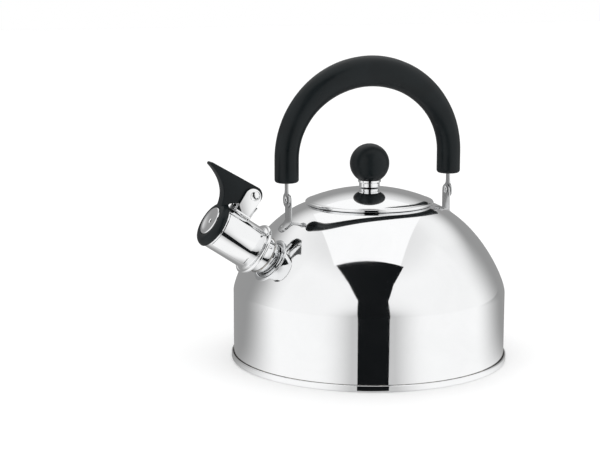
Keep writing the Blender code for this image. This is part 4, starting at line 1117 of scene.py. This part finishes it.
class KETTLE_OT_grip(PieceOperator, Operator):
    """Moulded grip of the bail, one arch from end to end"""
    bl_idname = "kettle.grip"
    bl_label = "Grip"

    def build(self, sizes, finishes):
        handle = sizes.handle
        base_z = BAIL_PIVOT.z + handle.grip_start
        half = []
        for i in range(8):
            turn = pi / 2 * i / 8
            half.append((handle.half_span, base_z + handle.rounding * (1 - cos(turn)),
                         handle.end_radius - handle.rounding * (1 - sin(turn))))
        for i in range(4):
            step = i / 4 * (handle.grip_straight - handle.rounding)
            half.append((handle.half_span, base_z + handle.rounding + step, handle.end_radius))
        arch_z = base_z + handle.grip_straight
        arch = 80
        middle = []
        for i in range(arch + 1):
            turn = pi * i / arch
            swell = (handle.top_radius - handle.end_radius) * sin(turn) ** 2
            middle.append((handle.half_span * cos(turn), arch_z + handle.grip_rise * sin(turn),
                           handle.end_radius + swell))
        run = [*half, *middle, *[(-x, z, r) for x, z, r in half[::-1]]]
        piece = wire("grip_moulded", [(x, 0, z) for x, z, r in run], 1.0, 10, radii=[r for x, z, r in run])
        for side in (-1, 1):
            middle_x = side * handle.half_span
            wide = sizes.fits.lug_sheet / 2 + sizes.fits.gap
            deep = handle.strip_width / 2 + sizes.fits.gap
            carve(piece, block((middle_x - wide, -deep, base_z - 5 * MM),
                               (middle_x + wide, deep, base_z + STRIP_INSET), Matrix()))
        soften(piece, 0.25 * MM, 2, 50)
        finish(piece, "bail", finishes["bakelite"], ["grip"], smooth=40)


class KETTLE_OT_legs(PieceOperator, Operator):
    """Steel strips from the grip down to the rivets"""
    bl_idname = "kettle.legs"
    bl_label = "Leg strips"

    def build(self, sizes, finishes):
        handle = sizes.handle
        half = handle.strip_width / 2
        eye_start = degrees(acos(half / handle.eye_radius))
        eye = arc((0, 0), handle.eye_radius, 180 - eye_start + 6, 360 + eye_start - 6, 40)
        shoulder = eye[0][1]
        fillet = bezier((-half, shoulder + 5 * MM), (-half, shoulder + 2.4 * MM),
                        (eye[0][0] + 0.4 * MM, shoulder + 1.4 * MM), eye[0], 8)
        other = [(-x, z) for x, z in fillet[::-1]]
        top = handle.grip_start + STRIP_INSET
        outline = [(-half, top), *fillet, *eye[1:-1], *other, (half, top)]
        for name, x in (("front", -handle.half_span), ("rear", handle.half_span)):
            place = Matrix.Translation((x, 0, BAIL_PIVOT.z)) @ Matrix.Rotation(pi / 2, 4, "Z")
            strip = slab(name + "_strip", outline, sizes.fits.lug_sheet, place)
            bore = drum(RIVET_HOLE, 8 * MM, Matrix.Translation((x, 0, BAIL_PIVOT.z)), "X", 48)
            carve(strip, bore)
            soften(strip, 0.25 * MM, 3)
            finish(strip, "bail", finishes["strip"], [name + "_leg_strip"])


class KETTLE_OT_brackets(PieceOperator, Operator):
    """Bail brackets bent from strip, their spot welds, and the rivets"""
    bl_idname = "kettle.brackets"
    bl_label = "Bail brackets"

    def build(self, sizes, finishes):
        handle = sizes.handle
        fits = sizes.fits
        lug_x = handle.half_span - fits.lug_sheet - fits.gap
        thick = fits.lug_sheet
        surface = dome_height(sizes.body, lug_x)
        ahead = dome_height(sizes.body, lug_x + handle.foot_length)
        slope = atan2(surface - ahead, handle.foot_length)
        lift = thick / 2 + fits.gap * 0.5
        bend = 1.8 * MM
        root = (lug_x, surface + lift)
        toe = (lug_x + handle.foot_length * cos(slope),
               surface + lift - handle.foot_length * sin(slope) + 0.15 * MM)
        start = (lug_x, root[1] + bend)
        into = (lug_x + bend * cos(slope), root[1] - bend * sin(slope))
        elbow = bezier(start, (lug_x, root[1] + bend * 0.3), (lug_x + bend * 0.3, root[1]), into, 8)
        crest_z = BAIL_PIVOT.z + 4.4 * MM
        middle = [(lug_x, crest_z), (lug_x, (crest_z + start[1]) / 2), *elbow, toe]
        outline = offset(middle, thick / 2) + offset(middle, -thick / 2)[::-1]
        for name, turn in (("front", pi), ("rear", 0.0)):
            side = Matrix.Rotation(turn, 4, "Z")
            strip = slab(name + "_bracket", outline, handle.lug_width)
            round_corners(strip, lambda p: p.z > crest_z - 1 * MM or p.x > toe[0] - 1.5 * MM,
                          handle.lug_width / 2 - 0.4 * MM)
            carve(strip, drum(RIVET_HOLE, 8 * MM, Matrix.Translation((lug_x, 0, BAIL_PIVOT.z)), "X", 48))
            soften(strip, 0.22 * MM, 2)
            dimples = []
            for y in (-WELD_SPREAD, WELD_SPREAD):
                dimple = ball_of(24, 12, scale=(WELD_RADIUS, WELD_RADIUS, WELD_RISE))
                x = root[0] + (toe[0] - root[0]) * WELD_ALONG
                z = root[1] + (toe[1] - root[1]) * WELD_ALONG + thick / 2
                set_down(dimple, Matrix.Translation((x, y, z)) @ Matrix.Rotation(slope, 4, "Y"))
                dimples.append(dimple)
            piece = gather(name + "_bracket_bent", strip, *dimples)
            set_down(piece, side)
            finish(piece, "body", finishes["strip"], [name + "_bail_bracket"])
            middle_x = handle.half_span - (thick + fits.gap) / 2
            place = side @ Matrix.Translation((middle_x, 0, BAIL_PIVOT.z)) @ Matrix.Rotation(pi / 2, 4, "Y")
            head = rivet(name + "_rivet_headed", RIVET_RADIUS, 2 * thick + 3 * fits.gap, handle.rivet_head,
                         RIVET_CROWN, place)
            finish(head, "body", finishes["satin"], [name + "_bail_rivet"])


def round_corners(piece, near, radius):
    """Round the corners of a flat strip: bevel the short edges across its sheet where near() holds."""
    pick(piece)
    bpy.ops.object.mode_set(mode="EDIT")
    bpy.ops.mesh.select_mode(type="EDGE")
    bpy.ops.mesh.select_all(action="DESELECT")
    shape = bmesh.from_edit_mesh(piece.data)
    for edge in shape.edges:
        a, b = (v.co for v in edge.verts)
        short = (a - b).length < 2 * MM and abs(a.y - b.y) < 1e-6
        corner = len(edge.link_faces) == 2 and edge.calc_face_angle(0) > 1.0
        edge.select = short and corner and near((a + b) / 2)
    bmesh.update_edit_mesh(piece.data)
    bpy.ops.mesh.bevel(offset=radius, segments=12, affect="EDGES")
    bpy.ops.mesh.select_mode(type="VERT")
    face_outwards()


# Studio ---------------------------------------------------------------------------------------------------

CAMERA_PLACE = (-0.5103, -1.0007, 0.2974)
CAMERA_TARGET = (-0.0485, 0.0247, 0.1045)
CAMERA_LENS = 86.75
CEILING_HEIGHT = 2.0
SWEEP_HALF = 9.0                # half the side of the glowing sweep on the floor

# Cards around the kettle, in metres: across and up, or across and towards the camera.
DARK_CARD = ((-0.14, 0), (0.30, 0), (0.31, 0.68), (0.47, 1.08), (1.02, 2.0), (-0.94, 2.0), (-0.36, 1.08),
             (-0.16, 0.68))
DARK_RUNNER = ((-0.14, 1.0), (-0.008, 0.1095), (0.016, 0.1095), (0.30, 1.0))
CEILING_PANEL = ((-1.0, -2.4), (0.92, -2.4), (0.92, 1.0), (-1.0, 1.0))
SQUARE = ((-1, -1), (1, -1), (1, 1), (-1, 1))


class KETTLE_OT_stage(Operator):
    """Studio: pale floor, soft white tent, dark card in front, lights and camera"""
    bl_idname = "kettle.stage"
    bl_label = "Studio"

    def execute(self, context):
        scene = context.scene
        colours = scene.kettle.colours
        leave_all()
        bpy.ops.object.camera_add(location=CAMERA_PLACE)
        camera = context.object
        aim = Vector(CAMERA_TARGET) - camera.location
        camera.rotation_euler = aim.to_track_quat("-Z", "Y").to_euler()
        camera.data.sensor_width = 36
        camera.data.lens = CAMERA_LENS
        camera.data.clip_end = 50
        scene.camera = camera

        leave_all()
        bpy.ops.mesh.primitive_plane_add(size=14, location=(0, 0, -0.05 * MM))
        floor = context.object
        floor.name = "studio_floor"
        paper = Finish("floor_paper", Roughness=0.75, Specular_IOR_Level=0.1)
        cloud = paper.noise(7.0, 3.0)
        tone = tuple(colours.floor)
        paper.to(Base_Color=paper.mix(cloud, tone, shade(tone, 0.99)))
        floor.data.materials.append(paper.material)

        ahead = Vector((camera.location.x, camera.location.y, 0)).normalized()
        across = Vector((-ahead.y, ahead.x, 0))
        card = card_at("dark_card", DARK_CARD, lambda x, z: ahead + across * x + Vector((0, 0, z)))
        runner = card_at("dark_runner", DARK_RUNNER,
                         lambda x, y: ahead * y + across * x + Vector((0, 0, 0.5 * MM)))
        black = Finish("card_black", Roughness=1.0, Specular_IOR_Level=0.0)
        black.shader.inputs["Base Color"].default_value = (0.006, 0.0068, 0.0075, 1)
        for piece in (card, runner):
            piece.data.materials.append(black.material)
        panel = card_at("ceiling_panel", CEILING_PANEL,
                        lambda x, y: ahead * y + across * x + Vector((0, 0, CEILING_HEIGHT)))
        panel.data.materials.append(glowing("panel_light", lambda tree, place: plain(tree, 1.06)))
        sweep = card_at("floor_sweep", SQUARE,
                        lambda x, y: Vector((SWEEP_HALF * x, SWEEP_HALF * y, 0.3 * MM)))
        tilt = Matrix.Rotation(radians(8), 3, "Z") @ ahead
        strip = Matrix.Rotation(radians(4.5), 3, "Z") @ ahead
        focus = scene.kettle.body.radius
        sweep.data.materials.append(glowing("sweep_light", lambda tree, place: tent(
            tree, flat(tree, place, ahead * focus * 0.7), flat(tree, place, ahead * focus * 0.5), tilt,
            (0.03, -0.63), (1.03, 0.32), strip, (0.57, 0.955), 0.58)))
        for piece in (card, runner, panel, sweep):
            piece.visible_camera = False
            piece.visible_diffuse = False
            piece.visible_shadow = False

        world = bpy.data.worlds.new("white_tent")
        scene.world = world
        world.use_nodes = True
        tree = world.node_tree
        tree.nodes.clear()
        place = tree.nodes.new("ShaderNodeTexCoord").outputs["Generated"]
        tilt = Matrix.Rotation(radians(12), 3, "Z") @ ahead
        shown = tent(tree, place, place, tilt, (0.02, -0.7), (1.0, 0.32), strip, (0.57, 0.955), 0.58)
        height = tree.nodes.new("ShaderNodeSeparateXYZ")
        tree.links.new(place, height.inputs[0])
        overhead = ramp(tree, height.outputs["Z"], 0.3, 0.66, 0.0, 1.0)
        shown = choose(tree, overhead, shown, arithmetic(tree, "MAXIMUM", shown, 0.96))
        high = ramp(tree, height.outputs["Z"], 0.68, 0.92, 0.0, 1.0)
        shown = choose(tree, high, shown, plain(tree, 0.84))
        rays = tree.nodes.new("ShaderNodeLightPath")
        shown = choose(tree, rays.outputs["Is Diffuse Ray"], shown, plain(tree, 1.25))
        shown = choose(tree, rays.outputs["Is Camera Ray"], shown, plain(tree, 1.0))
        background = tree.nodes.new("ShaderNodeBackground")
        tree.links.new(shown, background.inputs["Color"])
        tree.links.new(background.outputs[0], tree.nodes.new("ShaderNodeOutputWorld").inputs["Surface"])
        scene.view_settings.view_transform = "Standard"
        return {"FINISHED"}


def card_at(name, outline, place):
    """A flat card through the corners of an outline."""
    card = draw(name, [place(*corner) for corner in outline])
    bpy.ops.mesh.edge_face_add()
    leave_all()
    return card


def plain(tree, value):
    made = tree.nodes.new("ShaderNodeValue")
    made.outputs[0].default_value = value
    return made.outputs[0]


def ramp(tree, value, low, high, to_low, to_high, kind="SMOOTHSTEP"):
    made = tree.nodes.new("ShaderNodeMapRange")
    made.interpolation_type = kind
    tree.links.new(value, made.inputs["Value"])
    ends = (("From Min", low), ("From Max", high), ("To Min", to_low), ("To Max", to_high))
    for key, amount in ends:
        made.inputs[key].default_value = amount
    return made.outputs["Result"]


def choose(tree, factor, first, second):
    made = tree.nodes.new("ShaderNodeMix")
    tree.links.new(factor, made.inputs["Factor"])
    tree.links.new(first, made.inputs["A"])
    tree.links.new(second, made.inputs["B"])
    return made.outputs["Result"]


def flat(tree, place, focus):
    """Direction of a place on the floor from the wall's focus, where it is seen by reflection."""
    level = tree.nodes.new("ShaderNodeVectorMath")
    level.operation = "MULTIPLY_ADD"
    level.inputs[1].default_value = (1, 1, 0)
    level.inputs[2].default_value = -focus
    tree.links.new(place, level.inputs[0])
    unit = tree.nodes.new("ShaderNodeVectorMath")
    unit.operation = "NORMALIZE"
    tree.links.new(level.outputs[0], unit.inputs[0])
    return unit.outputs[0]


def towards(tree, place, direction):
    made = tree.nodes.new("ShaderNodeVectorMath")
    made.operation = "DOT_PRODUCT"
    made.inputs[1].default_value = direction
    tree.links.new(place, made.inputs[0])
    return made.outputs["Value"]


def arithmetic(tree, operation, first, second):
    made = tree.nodes.new("ShaderNodeMath")
    made.operation = operation
    for socket, value in zip(made.inputs, (first, second)):
        if isinstance(value, bpy.types.NodeSocket):
            tree.links.new(value, socket)
        else:
            socket.default_value = value
    return made.outputs[0]


def tent(tree, wide_place, near_place, direction, fade, levels, strip, strip_fade, strip_level):
    """Brightness of the tent: falls away behind the kettle, and a little beside the dark card."""
    wide = ramp(tree, towards(tree, wide_place, direction), *fade, *levels)
    near = ramp(tree, towards(tree, near_place, strip), *strip_fade, 0.0, 1.0, "LINEAR")
    loss = arithmetic(tree, "MULTIPLY", arithmetic(tree, "POWER", near, 4.0), 1 - strip_level)
    return arithmetic(tree, "MULTIPLY", wide, arithmetic(tree, "SUBTRACT", 1.0, loss))


def glowing(name, brightness):
    """A card that shines with the brightness given by place."""
    material = bpy.data.materials.new(name)
    material.use_nodes = True
    tree = material.node_tree
    tree.nodes.clear()
    place = tree.nodes.new("ShaderNodeTexCoord").outputs["Object"]
    light = tree.nodes.new("ShaderNodeEmission")
    tree.links.new(brightness(tree, place), light.inputs["Color"])
    tree.links.new(light.outputs[0], tree.nodes.new("ShaderNodeOutputMaterial").inputs["Surface"])
    return material


# Add-on ---------------------------------------------------------------------------------------------------

class KETTLE_PT_panel(Panel):
    """Buttons that build the kettle, and its sizes"""
    bl_idname = "KETTLE_PT_panel"
    bl_label = "Whistling kettle"
    bl_space_type = "VIEW_3D"
    bl_region_type = "UI"
    bl_category = "Kettle"

    def draw(self, context):
        for step in STEPS:
            self.layout.operator(step.bl_idname)
        for group in KettleSizes.__annotations__:
            column = self.layout.column(heading=group)
            sizes = getattr(context.scene.kettle, group)
            for key in type(sizes).__annotations__:
                column.prop(sizes, key)


STEPS = (KETTLE_OT_body, KETTLE_OT_base, KETTLE_OT_stub, KETTLE_OT_tube, KETTLE_OT_bracket, KETTLE_OT_lever,
         KETTLE_OT_capsule, KETTLE_OT_spring, KETTLE_OT_lid, KETTLE_OT_knob, KETTLE_OT_grip, KETTLE_OT_legs,
         KETTLE_OT_brackets, KETTLE_OT_stage)
GROUPS = (KettleFits, KettleBody, KettleBase, KettleSpout, KettleLever, KettleLid, KettleHandle,
          KettleColours, KettleSizes)


def register():
    for kind in (*GROUPS, *STEPS, KETTLE_PT_panel):
        bpy.utils.register_class(kind)
    bpy.types.Scene.kettle = PointerProperty(type=KettleSizes)


def unregister():
    del bpy.types.Scene.kettle
    for kind in (KETTLE_PT_panel, *STEPS[::-1], *GROUPS[::-1]):
        bpy.utils.unregister_class(kind)


def main():
    register()
    for step in STEPS:
        family, name = step.bl_idname.split(".")
        getattr(getattr(bpy.ops, family), name)()
    leave_all()


if __name__ == "__main__":
    main()
